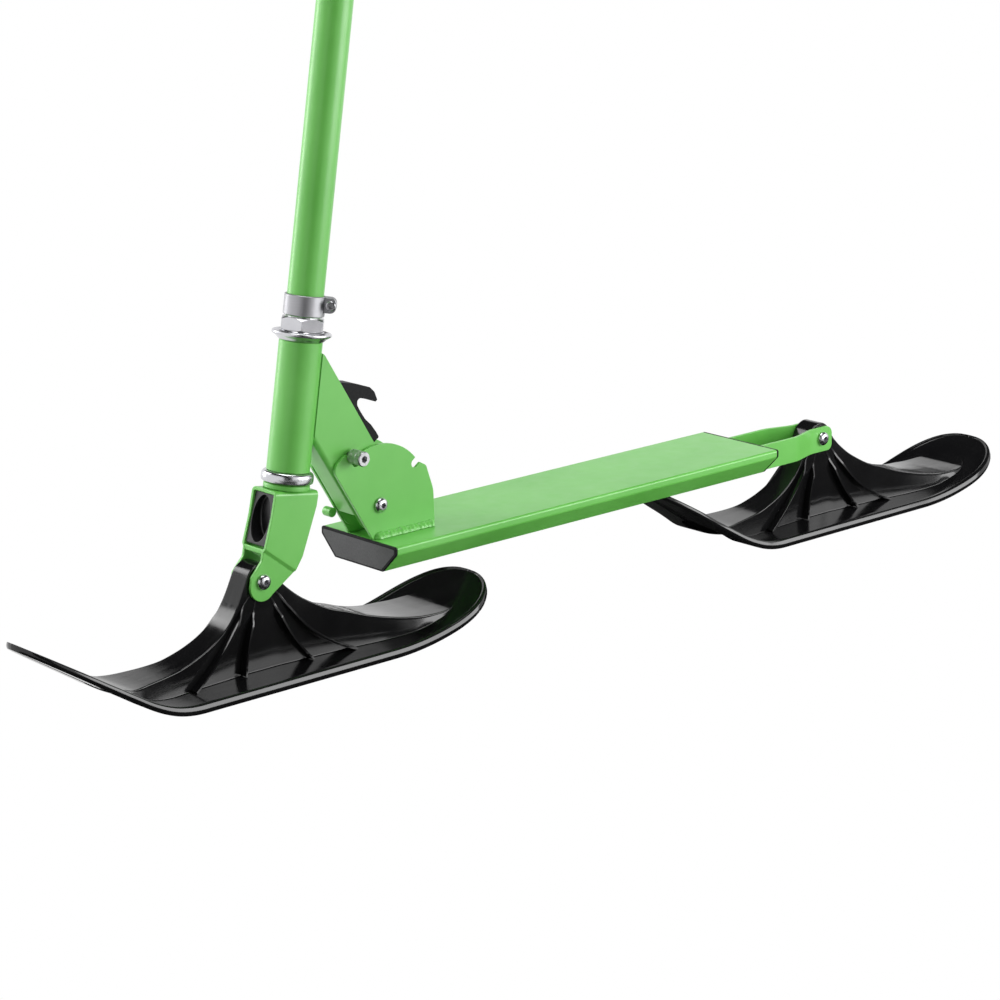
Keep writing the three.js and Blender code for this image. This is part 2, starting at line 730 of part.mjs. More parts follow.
const collar = {
  radius: 18,
  ear: 9.5,
  earHalf: 6.5,
  earLift: 4,
  slit: 2,
  low: 230.5,
  high: 248.3,
  bolt: 2.5,
  turn: -43,
};
const collarGroup = new THREE.Group();
collarGroup.rotation.z = collar.turn * degrees;
steering.add(collarGroup);
add(collarGroup, 'clamp_collar', splitCollar(collar), aluminium());
const pinch = { headRadius: 4.2, headLength: 5, socket: 2.3 };
const pinchBody = cut(
  join(
    crossRod(collar.bolt, -collar.earHalf, collar.earHalf + fit + lap),
    crossRod(pinch.headRadius, collar.earHalf + fit, collar.earHalf + fit + pinch.headLength),
  ),
  crossRod(pinch.socket, collar.earHalf + pinch.headLength / 2,
    collar.earHalf + pinch.headLength + overrun, 0, 0, 6),
);
add(collarGroup, 'collar_bolt', pinchBody, steel())
  .position.set(-collar.radius - collar.ear / 2, 0, (collar.low + collar.earLift + collar.high) / 2);

// Top clamp with its quick lever
const clamp = { radius: 20, ear: 14, earHalf: 9, earLift: 0, slit: 2.4, low: 549, high: 577, bolt: 3 };
add(steering, 'top_clamp', splitCollar(clamp), aluminium());
const cam = {
  x: -clamp.radius - clamp.ear / 2,
  z: (clamp.low + clamp.high) / 2,
  radius: 6.5,
  half: 8,
  pin: 2.5,
  heel: [90, 150],
};
const camSeat = clamp.earHalf + fit;
const camY = camSeat + cam.radius;
const clampBolt = join(
  crossRod(clamp.bolt, -clamp.earHalf - overrun, camSeat + cam.radius - cam.pin),
  disc(cam.pin, -cam.half, cam.half, 12).translate(0, camY, 0),
  crossRod(clamp.bolt, camSeat + cam.radius - cam.pin - lap, camY),
);
add(steering, 'clamp_bolt', clampBolt, steel()).position.set(cam.x, 0, cam.z);
const clampNut = cut(
  crossRod(cam.radius, -clamp.earHalf - fit - overrun, -clamp.earHalf - fit, 0, 0, 12),
  crossRod(clamp.bolt + fit, -clamp.earHalf - 3 * overrun, 0),
);
add(steering, 'clamp_nut', clampNut, steel()).position.set(cam.x, 0, cam.z);

const handle = { reach: 46, thickness: 5, halfWidth: 6.5, start: 2 };
const handleOut = camY + cam.radius - handle.thickness;
const leverPlan = [
  ...arc(0, camY, cam.radius, 180, 270, 4),
  [cam.radius, camY],
  [cam.radius + handle.start, handleOut + handle.start],
  [handle.reach - handle.thickness, handleOut + handle.thickness],
  [handle.reach, handleOut + 1.6 * handle.thickness],
  [handle.reach - handle.thickness / 2, handleOut + 2 * handle.thickness],
  [cam.radius, camY + cam.radius],
  ...arc(0, camY, cam.radius, ...cam.heel, 3),
];
// The clamp bolt's shank passes through this slot as the lever swings open
const leverSwing = 120;
const shankHalf = clamp.bolt + fit;
const slotReach = 2 * cam.radius;
const swingEnd = (270 - leverSwing) * degrees;
const slotSide = [shankHalf * Math.sin(swingEnd), camY - shankHalf * Math.cos(swingEnd)];
const swingSlot = [
  [shankHalf, camY - slotReach],
  [shankHalf, camY],
  slotSide,
  [slotSide[0] + slotReach * Math.cos(swingEnd), slotSide[1] + slotReach * Math.sin(swingEnd)],
  [-slotReach, camY],
  [-slotReach, camY - slotReach],
];
const clampLever = cut(
  planPlate(leverPlan, -handle.halfWidth, handle.halfWidth),
  disc(cam.pin + fit, -cam.half, cam.half, 12).translate(0, camY, 0),
  block(-clamp.bolt - fit, clamp.bolt + fit, 0, camY, -clamp.bolt - fit, clamp.bolt + fit),
  planPlate(swingSlot, -clamp.bolt - fit, clamp.bolt + fit),
);
add(steering, 'clamp_lever', clampLever, blackPlastic()).position.set(cam.x, 0, cam.z);

// Handlebar: a height tube that slides in the steering tube, with a cross tube on top
const bar = {
  height: 788,
  radius: 11.1,
  wall: 1.6,
  halfSpan: 172,
  heightTube: 14,
  wallTube: 1.8,
  low: 425,
};
const heightTube = cut(
  ring(bar.heightTube - bar.wallTube, bar.heightTube, bar.low, bar.height),
  crossRod(bar.radius + fit, -bar.heightTube - overrun, bar.heightTube + overrun, 0, bar.height),
);
add(steering, 'height_tube', heightTube, aluminium());
const crossBar = crossRing(bar.radius - bar.wall, bar.radius, -bar.halfSpan, bar.halfSpan);
add(steering, 'handlebar', crossBar, aluminium()).position.z = bar.height;
const grip = { radius: 16, length: 112, flange: 18, flangeLength: 4 };
const flangeStart = bar.halfSpan - grip.flangeLength;
const gripBody = crossRing(bar.radius + fit, grip.radius, bar.halfSpan - grip.length, flangeStart);
const gripFlange = crossRing(bar.radius + fit, grip.flange, flangeStart - lap, bar.halfSpan);
const gripWhole = join(gripBody, gripFlange);
add(steering, 'grip_left', gripWhole, foam()).position.z = bar.height;
add(steering, 'grip_right', mirrored(gripWhole), foam()).position.z = bar.height;
const barPlug = join(
  crossRod(bar.radius - bar.wall - fit, bar.halfSpan - overrun, bar.halfSpan + fit + lap),
  crossRod(bar.radius + 2, bar.halfSpan + fit, bar.halfSpan + fit + 2.5),
);
add(steering, 'bar_plug_left', barPlug, blackPlastic()).position.z = bar.height;
add(steering, 'bar_plug_right', mirrored(barPlug), blackPlastic()).position.z = bar.height;

// Ski: a moulded tray whose ridge climbs from nose and tail to the hub
const smooth = t => t * t * (3 - 2 * t);
const clampShare = t => Math.min(1, Math.max(0, t));

// Height of the ski's underside
function soleHeight(x) {
  const angle = noseAngle * degrees;
  const arcEnd = soleFront + noseRadius * Math.sin(angle);
  if (x > arcEnd) return noseRadius * (1 - Math.cos(angle)) + (x - arcEnd) * Math.tan(angle);
  if (x > soleFront) return noseRadius - Math.sqrt(noseRadius ** 2 - (x - soleFront) ** 2);
  if (x < -soleRear) return tailRadius - Math.sqrt(tailRadius ** 2 - (x + soleRear) ** 2);
  return 0;
}

// Half the ski's width: straight sides, a tapering nose and round ends
const plan = {
  noseTaper: 120,
  noseShoulder: 186,
  noseShare: 0.79,
  nosePower: 0.57,
  tailShoulder: 183,
  tailPower: 2.6,
  tip: 0.1,
};
function halfWidth(x) {
  const half = skiWidth / 2;
  if (x > plan.noseTaper) {
    const taper = smooth(clampShare((x - plan.noseTaper) / (plan.noseShoulder - plan.noseTaper)));
    const wide = half * (1 - (1 - plan.noseShare) * taper);
    const t = clampShare((x - plan.noseShoulder) / (skiNose - plan.noseShoulder));
    return wide * (1 - t * t) ** plan.nosePower;
  }
  const t = clampShare((-x - plan.tailShoulder) / (skiTail - plan.tailShoulder));
  return half * (1 - t ** plan.tailPower) ** (1 / plan.tailPower);
}

// Top of the ridge, as heights over the sole at places along the ski
const ridgePlaces = [
  [-195, 20], [-175, 21.5], [-145, 26], [-115, 33], [-92, 41], [-74, 47], [-57, 55.5], [-40, 66],
  [-22, 82], [-13, 95], [14, 93], [20, 79.5], [28, 61.5], [58, 39.5], [95, 27.5], [132, 25.5], [150, 26],
  [162, 29],
];
function ridgeHeight(x) {
  const floor = soleHeight(x) + skiFloor;
  const first = ridgePlaces[0];
  const last = ridgePlaces[ridgePlaces.length - 1];
  if (x <= first[0] || x >= last[0]) return floor + lap;
  const i = ridgePlaces.findIndex(([place]) => place > x);
  const [x0, z0] = ridgePlaces[i - 1];
  const [x1, z1] = ridgePlaces[i];
  return Math.max(floor + lap, z0 + (z1 - z0) * (x - x0) / (x1 - x0));
}

const ridge = { hubHalf: hubWidth / 2, spread: 29.5, flare: 2, knee: 60, fillet: 3.5 };
const ridgeShares = [
  [0, 0], [23, 0], [30, 0.05], [50, 0.12], [75, 0.2], [100, 0.36], [125, 0.6], [145, 0.87], [165, 1],
  [skiNose, 1],
];
function ridgeHalf(x) {
  const i = Math.max(1, ridgeShares.findIndex(([place]) => place >= Math.abs(x)));
  const [x0, share0] = ridgeShares[i - 1];
  const [x1, share1] = ridgeShares[i];
  const share = share0 + (share1 - share0) * (Math.abs(x) - x0) / (x1 - x0);
  return ridge.hubHalf + (ridge.spread - ridge.hubHalf) * share;
}

// Half of the ski's section at x, from the ridge over the rim to the hollow underneath
function skiSection(x) {
  const sole = soleHeight(x);
  const half = halfWidth(x) + plan.tip;
  const thin = 1 - 0.35 * clampShare((x - soleFront) / (skiNose - soleFront));
  const floor = sole + skiFloor * thin;
  const rimTop = floor + skiRim * thin;
  const top = Math.max(ridgeHeight(x), floor + lap);
  const topHalf = Math.min(ridgeHalf(x), half * 0.54);
  const footHalf = Math.min(topHalf + ridge.flare, half * 0.6);
  const filletHalf = Math.min(footHalf + ridge.fillet, half * 0.7);
  const edge = Math.min(1.2, (top - floor) * 0.4);
  const knee = floor + Math.min(top - edge - floor, ridge.knee) * 0.9;
  const foot = floor + (Math.min(ridge.fillet, (top - floor) * 0.3));
  const rimInner = half * 0.04 + Math.min(5, half * 0.2);
  const rimFlat = Math.min(1.6, half * 0.06);
  const depth = Math.max(lap, Math.min(top - sole, pivotHeight - hubRadius + lap) - skiWall);
  const hollowTop = Math.max(topHalf - skiWall, half * 0.1);
  const hollowFoot = Math.max(footHalf - skiWall * 0.8, half * 0.2);
  return [
    [topHalf - Math.min(1.2, topHalf * 0.2), top],
    [topHalf, top - edge],
    [topHalf + (footHalf - topHalf) * 0.1, knee],
    [footHalf, foot],
    [filletHalf, floor],
    [half - rimInner, floor],
    [half - rimInner + rimFlat, rimTop],
    [half - rimFlat, rimTop],
    [half, rimTop - rimFlat],
    [half, sole + rimFlat],
    [half - rimFlat, sole],
    [hollowFoot, sole],
    [hollowFoot - half * 0.01, sole + Math.min(depth * 0.5, skiWall)],
    [hollowTop, sole + depth * 0.96],
    [0, sole + depth],
  ];
}

function loft(sections) {
  const size = sections[0].length;
  const positions = sections.flat(2);
  const index = [];
  for (let s = 0; s + 1 < sections.length; s += 1) {
    for (let i = 0; i < size; i += 1) {
      const a = s * size + i;
      const b = s * size + (i + 1) % size;
      index.push(a, a + size, b, b, a + size, b + size);
    }
  }
  const capOf = (section, base, flip) => {
    const outline = section.map(([, y, z]) => new THREE.Vector2(y, z));
    THREE.ShapeUtils.triangulateShape(outline, []).forEach(([a, b, c]) => {
      index.push(base + a, base + (flip ? c : b), base + (flip ? b : c));
    });
  };
  capOf(sections[0], 0, true);
  capOf(sections[sections.length - 1], (sections.length - 1) * size, false);
  const geometry = new THREE.BufferGeometry();
  geometry.setAttribute('position', new THREE.BufferAttribute(new Float32Array(positions), 3));
  geometry.setIndex(index);
  return geometry;
}

// Stations along the ski, closer together at its ends and by the hub
const stationShares = [0, 0.02, 0.06, 0.13, 0.24, 0.38, 0.55, 0.76, 1];
const tailStations = stationShares.map(t => -skiTail + (skiTail - plan.tailShoulder) * t);
const noseStations = stationShares.map(t => skiNose - (skiNose - plan.noseShoulder) * t).reverse();
const midStations = [
  -168, -150, -125, -100, -75, -57, -40, -23, -13, 0, 14, 20, 28, 40, 57, 75, 95, 112, 132, 150, 165, 178,
];
const stations = [...tailStations, ...midStations, ...noseStations];
const skiLoft = loft(stations.map(x => {
  const half = skiSection(x);
  const other = half.slice(0, -1).reverse().map(([y, z]) => [x, -y, z]);
  return [...half.map(([y, z]) => [x, y, z]), ...other];
}));

// Ribs on the ridge's sides, spreading from the hub to the floor
const rib = { thickness: 2.6, reach: 9, start: 27, startReach: 1.2, foot: 3.5 };
const ribFeet = [84, 26, -49, -98];
function ribBody(foot) {
  const dx = foot;
  const dz = pivotHeight - skiFloor;
  const length = Math.hypot(dx, dz);
  const root = ridge.hubHalf - lap;
  const blade = new THREE.BufferGeometry();
  const section = (s, from, reach) => [[-rib.thickness / 2, from, s], [rib.thickness / 2, from, s],
    [rib.thickness / 2, from + reach, s], [-rib.thickness / 2, from + reach, s]];
  const low = section(length + 2 * lap, ridgeHalf(foot) - lap, rib.reach + 2 * lap);
  const high = section(rib.start, root, rib.startReach);
  blade.setAttribute('position', new THREE.BufferAttribute(new Float32Array([...low, ...high].flat()), 3));
  blade.setIndex([0, 1, 2, 0, 2, 3, 4, 6, 5, 4, 7, 6, 0, 4, 5, 0, 5, 1, 1, 5, 6, 1, 6, 2, 2, 6, 7, 2, 7, 3,
    3, 7, 4, 3, 4, 0]);
  // The rib's own axis s runs from the hub down to its foot
  const down = new THREE.Vector3(dx / length, 0, -dz / length);
  const across = new THREE.Vector3(0, 1, 0).cross(down);
  const basis = new THREE.Matrix4().makeBasis(across, new THREE.Vector3(0, 1, 0), down);
  basis.setPosition(0, 0, pivotHeight);
  return blade.applyMatrix4(basis);
}

function skiBody() {
  const hub = crossRod(hubRadius, -hubWidth / 2, hubWidth / 2, 0, pivotHeight);
  const floorBlock = block(-skiTail, skiNose, -skiWidth, skiWidth, rib.foot, pivotHeight);
  const ribs = ribFeet.flatMap(foot => {
    const one = overlap(ribBody(foot), floorBlock);
    return [one, mirrored(one)];
  });
  const bore = crossRod(bushOuter + fit, -hubWidth, hubWidth, 0, pivotHeight);
  return cut(join(skiLoft, hub, ...ribs), bore);
}

const ski = skiBody();
const bushBody = crossRing(boltRadius + fit, bushOuter, -hubWidth / 2, hubWidth / 2);
add(scooter, 'front_ski', ski, blackPlastic());
add(scooter, 'front_ski_bush', bushBody, steel()).position.set(0, 0, pivotHeight);
add(scooter, 'rear_ski', ski.clone(), blackPlastic()).position.set(-wheelbase, 0, 0);
add(scooter, 'rear_ski_bush', bushBody.clone(), steel()).position.set(-wheelbase, 0, pivotHeight);

export default scooter;
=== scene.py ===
import math

import bpy
from mathutils import Matrix, Vector


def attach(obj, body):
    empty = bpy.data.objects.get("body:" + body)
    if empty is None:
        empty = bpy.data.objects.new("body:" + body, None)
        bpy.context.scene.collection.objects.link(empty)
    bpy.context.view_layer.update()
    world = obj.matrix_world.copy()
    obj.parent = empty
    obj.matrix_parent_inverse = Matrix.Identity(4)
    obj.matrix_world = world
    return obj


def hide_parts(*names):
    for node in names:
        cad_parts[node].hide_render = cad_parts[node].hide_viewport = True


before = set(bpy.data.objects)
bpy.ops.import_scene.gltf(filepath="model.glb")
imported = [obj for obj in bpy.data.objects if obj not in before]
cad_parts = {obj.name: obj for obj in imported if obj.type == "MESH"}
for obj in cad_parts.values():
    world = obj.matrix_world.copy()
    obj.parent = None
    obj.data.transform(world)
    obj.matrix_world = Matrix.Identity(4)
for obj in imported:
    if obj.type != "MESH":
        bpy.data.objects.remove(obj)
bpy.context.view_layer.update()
print("frame loaded")

mm = 0.001
layout = {
    "wheelbase": 723.2,
    "pivotHeight": 86.4,
    "rake": 8.8,
    "pivotTrail": 27.6,
    "hingeBehind": 131.7,
    "hingeHeight": 130.7,
    "neckAngle": 32,
    "foldAngle": 85.5,
    "lockHeight": 59.3,
    "collarTurn": -43,
}


def shiftBy(x, y, z):
    return Matrix.Translation(Vector((x, y, z)) * mm)


def turnAbout(axis, angle):
    return Matrix.Rotation(math.radians(angle), 4, axis)


# the places that the pieces are drawn in, one for each leaning part
rake = math.radians(layout["rake"])
scooterPlace = shiftBy(layout["wheelbase"] / 2, 0, 0)
steeringPlace = scooterPlace @ shiftBy(
    -layout["pivotTrail"] * math.cos(rake), 0,
    layout["pivotHeight"] - layout["pivotTrail"] * math.sin(rake)) @ turnAbout("Y", -layout["rake"])
frontPivot = steeringPlace @ shiftBy(layout["pivotTrail"], 0, 0)
hingePlace = scooterPlace @ shiftBy(-layout["hingeBehind"], 0, layout["hingeHeight"])
neckPlace = hingePlace @ turnAbout("Y", layout["neckAngle"])
lockPlace = neckPlace @ shiftBy(0, 0, layout["lockHeight"])
collarPlace = steeringPlace @ turnAbout("Z", layout["collarTurn"])
rearSkiPlace = scooterPlace @ shiftBy(-layout["wheelbase"], 0, 0)
rearPivot = rearSkiPlace @ shiftBy(0, 0, layout["pivotHeight"])
towardsLeft, towardsRight = turnAbout("X", -90), turnAbout("X", 90)

# Small modelling moves used by every piece
through = 40  # how far a cutter runs to each side
mergeGap = {"piece": 0.004, "grid": 0.002}
flatAngle = 0.3
cornerLimits = {"reach": 0.49, "straight": 179.5, "shortest": 1e-6}


def deselectAll():
    if bpy.context.object and bpy.context.object.mode != "OBJECT":
        bpy.ops.object.mode_set(mode="OBJECT")
    bpy.ops.object.select_all(action="DESELECT")


def pickOnly(piece):
    deselectAll()
    piece.select_set(True)
    bpy.context.view_layer.objects.active = piece


def editAll():
    bpy.ops.object.mode_set(mode="EDIT")
    bpy.ops.mesh.select_all(action="SELECT")


def leaveEdit():
    bpy.ops.object.mode_set(mode="OBJECT")


def faceOutwards():
    bpy.ops.mesh.select_all(action="SELECT")
    bpy.ops.mesh.normals_make_consistent(inside=False)
    leaveEdit()


def applyLast(piece):
    bpy.ops.object.modifier_apply(modifier=piece.modifiers[-1].name)


def tidyMesh(piece):
    pickOnly(piece)
    editAll()
    bpy.ops.mesh.remove_doubles(threshold=mergeGap["piece"] * mm)
    bpy.ops.mesh.delete_loose(use_verts=True, use_edges=True, use_faces=False)
    faceOutwards()


def roundCorners(corners, steps=5, even=False):
    # corners are (a, b) or (a, b, radius); a rounded one becomes a short arc
    smooth = []
    count = len(corners)
    for i, corner in enumerate(corners):
        here = Vector(corner[:2])
        radius = corner[2] if len(corner) > 2 else 0
        before = Vector(corners[i - 1][:2]) - here
        after = Vector(corners[(i + 1) % count][:2]) - here
        spare = steps if even and len(corner) > 2 else 0
        sharp = radius <= 0 or min(before.length, after.length) < cornerLimits["shortest"]
        if sharp or before.angle(after) > math.radians(cornerLimits["straight"]):
            smooth += [(here.x, here.y)] * (1 + spare)
            continue
        turn = before.angle(after)
        room = min(before.length, after.length) * cornerLimits["reach"]
        reach = min(radius / math.tan(turn / 2), room)
        radius = reach * math.tan(turn / 2)
        start = here + before.normalized() * reach
        end = here + after.normalized() * reach
        inwards = (before.normalized() + after.normalized()).normalized()
        middle = here + inwards * radius / math.sin(turn / 2)
        first = math.atan2(start.y - middle.y, start.x - middle.x)
        last = math.atan2(end.y - middle.y, end.x - middle.x)
        sweep = (last - first + math.pi) % (2 * math.pi) - math.pi
        for k in range(steps + 1):
            angle = first + sweep * k / steps
            smooth.append((middle.x + radius * math.cos(angle), middle.y + radius * math.sin(angle)))
    return smooth


def arcPoints(a, b, radius, start, end, steps):
    angles = [math.radians(start + (end - start) * k / steps) for k in range(steps + 1)]
    return [(a + radius * math.cos(t), b + radius * math.sin(t)) for t in angles]


def circleAt(a, b, radius, count=48, start=0):
    return arcPoints(a, b, radius, start, start + 360 - 360 / count, count - 1)


def ringOf(name, places, fill):
    # one vertex for each place, joined in a ring
    deselectAll()
    bpy.ops.mesh.primitive_circle_add(vertices=len(places), radius=10 * mm, fill_type=fill)
    piece = bpy.context.object
    piece.name = piece.data.name = name
    for vertex, place in zip(piece.data.vertices, places):
        vertex.co = Vector(place) * mm
    return piece


def drawnOut(name, corners, plane, low, high):
    # an outline in the side (x, z), plan (x, y) or end (y, z) plane, extruded from low to high
    lay = {
        "side": lambda a, b: (a, low, b),
        "plan": lambda a, b: (a, b, low),
        "end": lambda a, b: (low, a, b),
    }
    step = {"side": (0, 1, 0), "plan": (0, 0, 1), "end": (1, 0, 0)}
    piece = ringOf(name, [lay[plane](a, b) for a, b in corners], "NGON")
    editAll()
    move = Vector(step[plane]) * (high - low) * mm
    bpy.ops.mesh.extrude_region_move(TRANSFORM_OT_translate={"value": move})
    faceOutwards()
    return piece


def turnedPiece(name, profile, steps=96):
    # a closed profile of (radius, height) spun about z
    piece = ringOf(name, [(radius, 0, height) for radius, height in profile], "NOTHING")
    editAll()
    bpy.ops.mesh.spin(steps=steps, angle=2 * math.pi, center=(0, 0, 0), axis=(0, 0, 1))
    leaveEdit()
    tidyMesh(piece)
    return piece


def rod(name, radius, low, high, steps=96, chamfer=0):
    ends = [(radius - chamfer, low), (radius, low + chamfer),
            (radius, high - chamfer), (radius - chamfer, high)]
    if not chamfer:
        ends = [(radius, low), (radius, high)]
    return turnedPiece(name, [(0, low), *ends, (0, high)], steps)


def pipe(name, size, steps=128):
    inner, outer, low, high, chamfer = (size[key] for key in ("inner", "outer", "low", "high", "chamfer"))
    return turnedPiece(name, [
        (inner, low + chamfer), (inner + chamfer, low), (outer - chamfer, low), (outer, low + chamfer),
        (outer, high - chamfer), (outer - chamfer, high), (inner + chamfer, high), (inner, high - chamfer)],
        steps)


def laidGrid(name, across, along, rule):
    # a grid whose corners are laid by a rule of two shares, closed round and capped at its ends
    deselectAll()
    bpy.ops.mesh.primitive_grid_add(x_subdivisions=across, y_subdivisions=along, size=1)
    piece = bpy.context.object
    piece.name = piece.data.name = name
    for vertex in piece.data.vertices:
        vertex.co = Vector(rule(vertex.co.x + 0.5, vertex.co.y + 0.5)) * mm
    editAll()
    bpy.ops.mesh.remove_doubles(threshold=mergeGap["grid"] * mm)
    bpy.ops.mesh.select_all(action="SELECT")
    bpy.ops.mesh.fill_holes(sides=0)
    faceOutwards()
    return piece


def carve(piece, cutter, how="DIFFERENCE"):
    pickOnly(piece)
    bpy.ops.object.modifier_add(type="BOOLEAN")
    shaping = piece.modifiers[-1]
    shaping.operation = how
    shaping.solver = "EXACT"
    shaping.object = cutter
    applyLast(piece)
    bpy.data.objects.remove(cutter)
    return piece


def boreThrough(piece, plane, a, b, radius):
    carve(piece, drawnOut("bore", circleAt(a, b, radius), plane, -through, through))


def softenEdges(piece, width, segments, angle):
    pickOnly(piece)
    editAll()
    bpy.ops.mesh.dissolve_limited(angle_limit=math.radians(flatAngle))
    leaveEdit()
    bpy.ops.object.modifier_add(type="BEVEL")
    edge = piece.modifiers[-1]
    edge.width = width * mm
    edge.segments = segments
    edge.limit_method = "ANGLE"
    edge.angle_limit = math.radians(angle)
    edge.miter_outer = "MITER_ARC"
    applyLast(piece)


def bandCuts(piece, point, normal, offsets):
    # rows of edges across the piece where it is going to bend
    direction = Vector(normal).normalized()
    for offset in offsets:
        pickOnly(piece)
        editAll()
        bpy.ops.mesh.bisect(plane_co=(Vector(point) + direction * offset) * mm, plane_no=direction)
        leaveEdit()


def joinPieces(piece, other):
    pickOnly(piece)
    other.select_set(True)
    bpy.ops.object.join()


def standAt(piece, place):
    pickOnly(piece)
    piece.matrix_world = place @ piece.matrix_world
    bpy.ops.object.transform_apply(location=True, rotation=True, scale=True)


def scaledBy(piece, x, y, z):
    pickOnly(piece)
    piece.scale = (x, y, z)
    bpy.ops.object.transform_apply(location=False, rotation=False, scale=True)


def plainCopy(piece, name):
    copy = piece.copy()
    copy.data = piece.data.copy()
    copy.name = copy.data.name = name
    bpy.context.scene.collection.objects.link(copy)
    return copy


def mirroredCopy(piece, name):
    copy = plainCopy(piece, name)
    scaledBy(copy, 1, -1, 1)
    editAll()
    faceOutwards()
    return copy


def levelNormals(piece, area):
    # the wide flat faces keep one normal all over, and their rounded edges take up the turn
    pickOnly(piece)
    bpy.ops.object.mode_set(mode="EDIT")
    bpy.ops.mesh.select_all(action="DESELECT")
    leaveEdit()
    for face in piece.data.polygons:
        face.select = face.area > area * mm * mm
    bpy.ops.object.mode_set(mode="EDIT")
    bpy.ops.mesh.select_mode(type="FACE")
    bpy.ops.mesh.set_normals_from_faces(keep_sharp=True)
    bpy.ops.mesh.select_mode(type="VERT")
    leaveEdit()


def finishPiece(piece, place, node, body, slotName, angle=30, flatten=True, wide=0, material=None):
    standAt(piece, place)
    bpy.ops.object.shade_smooth_by_angle(angle=math.radians(angle))
    if flatten:
        bpy.ops.object.modifier_add(type="WEIGHTED_NORMAL")
        piece.modifiers[-1].keep_sharp = True
        piece.modifiers[-1].mode = "FACE_AREA"
        piece.modifiers[-1].weight = 100
        applyLast(piece)
    if wide:
        levelNormals(piece, wide)
    piece.data.materials.clear()
    piece.data.materials.append(material or slotMaterials[slotName])
    if node:
        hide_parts(node)
    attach(piece, body)


def smoothShare(t):
    t = min(1, max(0, t))
    return t * t * (3 - 2 * t)


def curveThrough(places, x):
    # a smooth curve through (place, height) points
    if x <= places[0][0]:
        return places[0][1]
    if x >= places[-1][0]:
        return places[-1][1]
    i = next(k for k in range(1, len(places)) if places[k][0] >= x)

    def slope(k):
        if k <= 0 or k >= len(places) - 1:
            return 0
        return (places[k + 1][1] - places[k - 1][1]) / (places[k + 1][0] - places[k - 1][0])

    x0, z0 = places[i - 1]
    x1, z1 = places[i]
    span = x1 - x0
    t = (x - x0) / span
    return ((2 * t ** 3 - 3 * t ** 2 + 1) * z0 + (t ** 3 - 2 * t ** 2 + t) * span * slope(i - 1)
            + (-2 * t ** 3 + 3 * t ** 2) * z1 + (t ** 3 - t ** 2) * span * slope(i))


# Finishes
# grain, gloss and relief are patterns (scale, detail, stretch, turn); without its own one, the grain serves
finishes = {
    "greenPowderCoat": {
        "colour": (0.150, 0.560, 0.085), "rough": 0.38, "grain": (11, 4),
        "stops": [(0.3, (0.130, 0.520, 0.070)), (0.5, (0.150, 0.560, 0.085)), (0.72, (0.175, 0.600, 0.105))],
        "gloss": (70, 3), "roughness": (0.36, 0.46), "relief": (850, 2), "bump": (0.22, 0.12)},
    "blackSkiMoulding": {
        "colour": (0.0065, 0.0065, 0.007), "rough": 0.14, "grain": (14, 4),
        "stops": [(0.3, (0.0045, 0.0045, 0.005)), (0.7, (0.0085, 0.0085, 0.009))],
        "gloss": (18, 4, (1, 9, 1)), "roughness": (0.10, 0.19), "relief": (700, 2), "bump": (0.05, 0.03),
        "shine": 0.5},
    "blackTrimMoulding": {
        "colour": (0.008, 0.008, 0.009), "rough": 0.42, "grain": (900, 3),
        "stops": [(0.35, (0.006, 0.006, 0.007)), (0.65, (0.012, 0.012, 0.013))],
        "gloss": (40, 3), "roughness": (0.36, 0.50), "bump": (0.25, 0.08), "shine": 0.15},
    "greyCapMoulding": {
        "colour": (0.080, 0.080, 0.085), "rough": 0.55, "grain": (800, 4),
        "stops": [(0.3, (0.064, 0.064, 0.067)), (0.5, (0.080, 0.080, 0.083)), (0.75, (0.098, 0.098, 0.102))],
        "gloss": (60, 3), "roughness": (0.5, 0.64), "bump": (0.35, 0.15)},
    "gripFoam": {
        "colour": (0.018, 0.018, 0.019), "rough": 0.92, "cells": 1300,
        "stops": [(0.05, (0.008, 0.008, 0.009)), (0.6, (0.028, 0.028, 0.029))],
        "gloss": (90, 3), "roughness": (0.85, 0.97), "bump": (0.6, 0.3)},
    "brightChrome": {
        "colour": (0.68, 0.69, 0.71), "metal": 1, "rough": 0.1, "grain": (60, 3),
        "stops": [(0.3, (0.60, 0.60, 0.63)), (0.7, (0.66, 0.66, 0.69))], "roughness": (0.23, 0.27)},
    "plainSteel": {
        "colour": (0.55, 0.555, 0.565), "metal": 1, "rough": 0.36, "grain": (700, 4),
        "stops": [(0.3, (0.47, 0.475, 0.485)), (0.7, (0.63, 0.635, 0.645))],
        "gloss": (160, 3), "roughness": (0.30, 0.48), "bump": (0.18, 0.05)},
    "turnedAluminium": {
        "colour": (0.62, 0.63, 0.65), "metal": 1, "rough": 0.3, "grain": (60, 4, (1, 1, 60), (0, rake, 0)),
        "stops": [(0.3, (0.40, 0.40, 0.42)), (0.7, (0.46, 0.46, 0.48))],
        "roughness": (0.42, 0.50), "bump": (0.05, 0.02)},
}
finishes["insertMoulding"] = {**finishes["blackTrimMoulding"], "roughness": (0.30, 0.42), "shine": 0.7}
finishes["barAluminium"] = {**finishes["turnedAluminium"], "grain": (60, 4, (1, 60, 1), (0, rake, 0))}
# rubbed spots and the clear coat of the green paint
scuff = {"grain": (34, 8), "colour": (0.20, 0.62, 0.13),
         "stops": [(0.66, (0, 0, 0)), (0.74, (0.3, 0.3, 0.3))]}
clearCoat = {"Coat Weight": 0.55, "Coat Roughness": 0.28}
patternRange = {"From Min": 0.3, "From Max": 0.7}


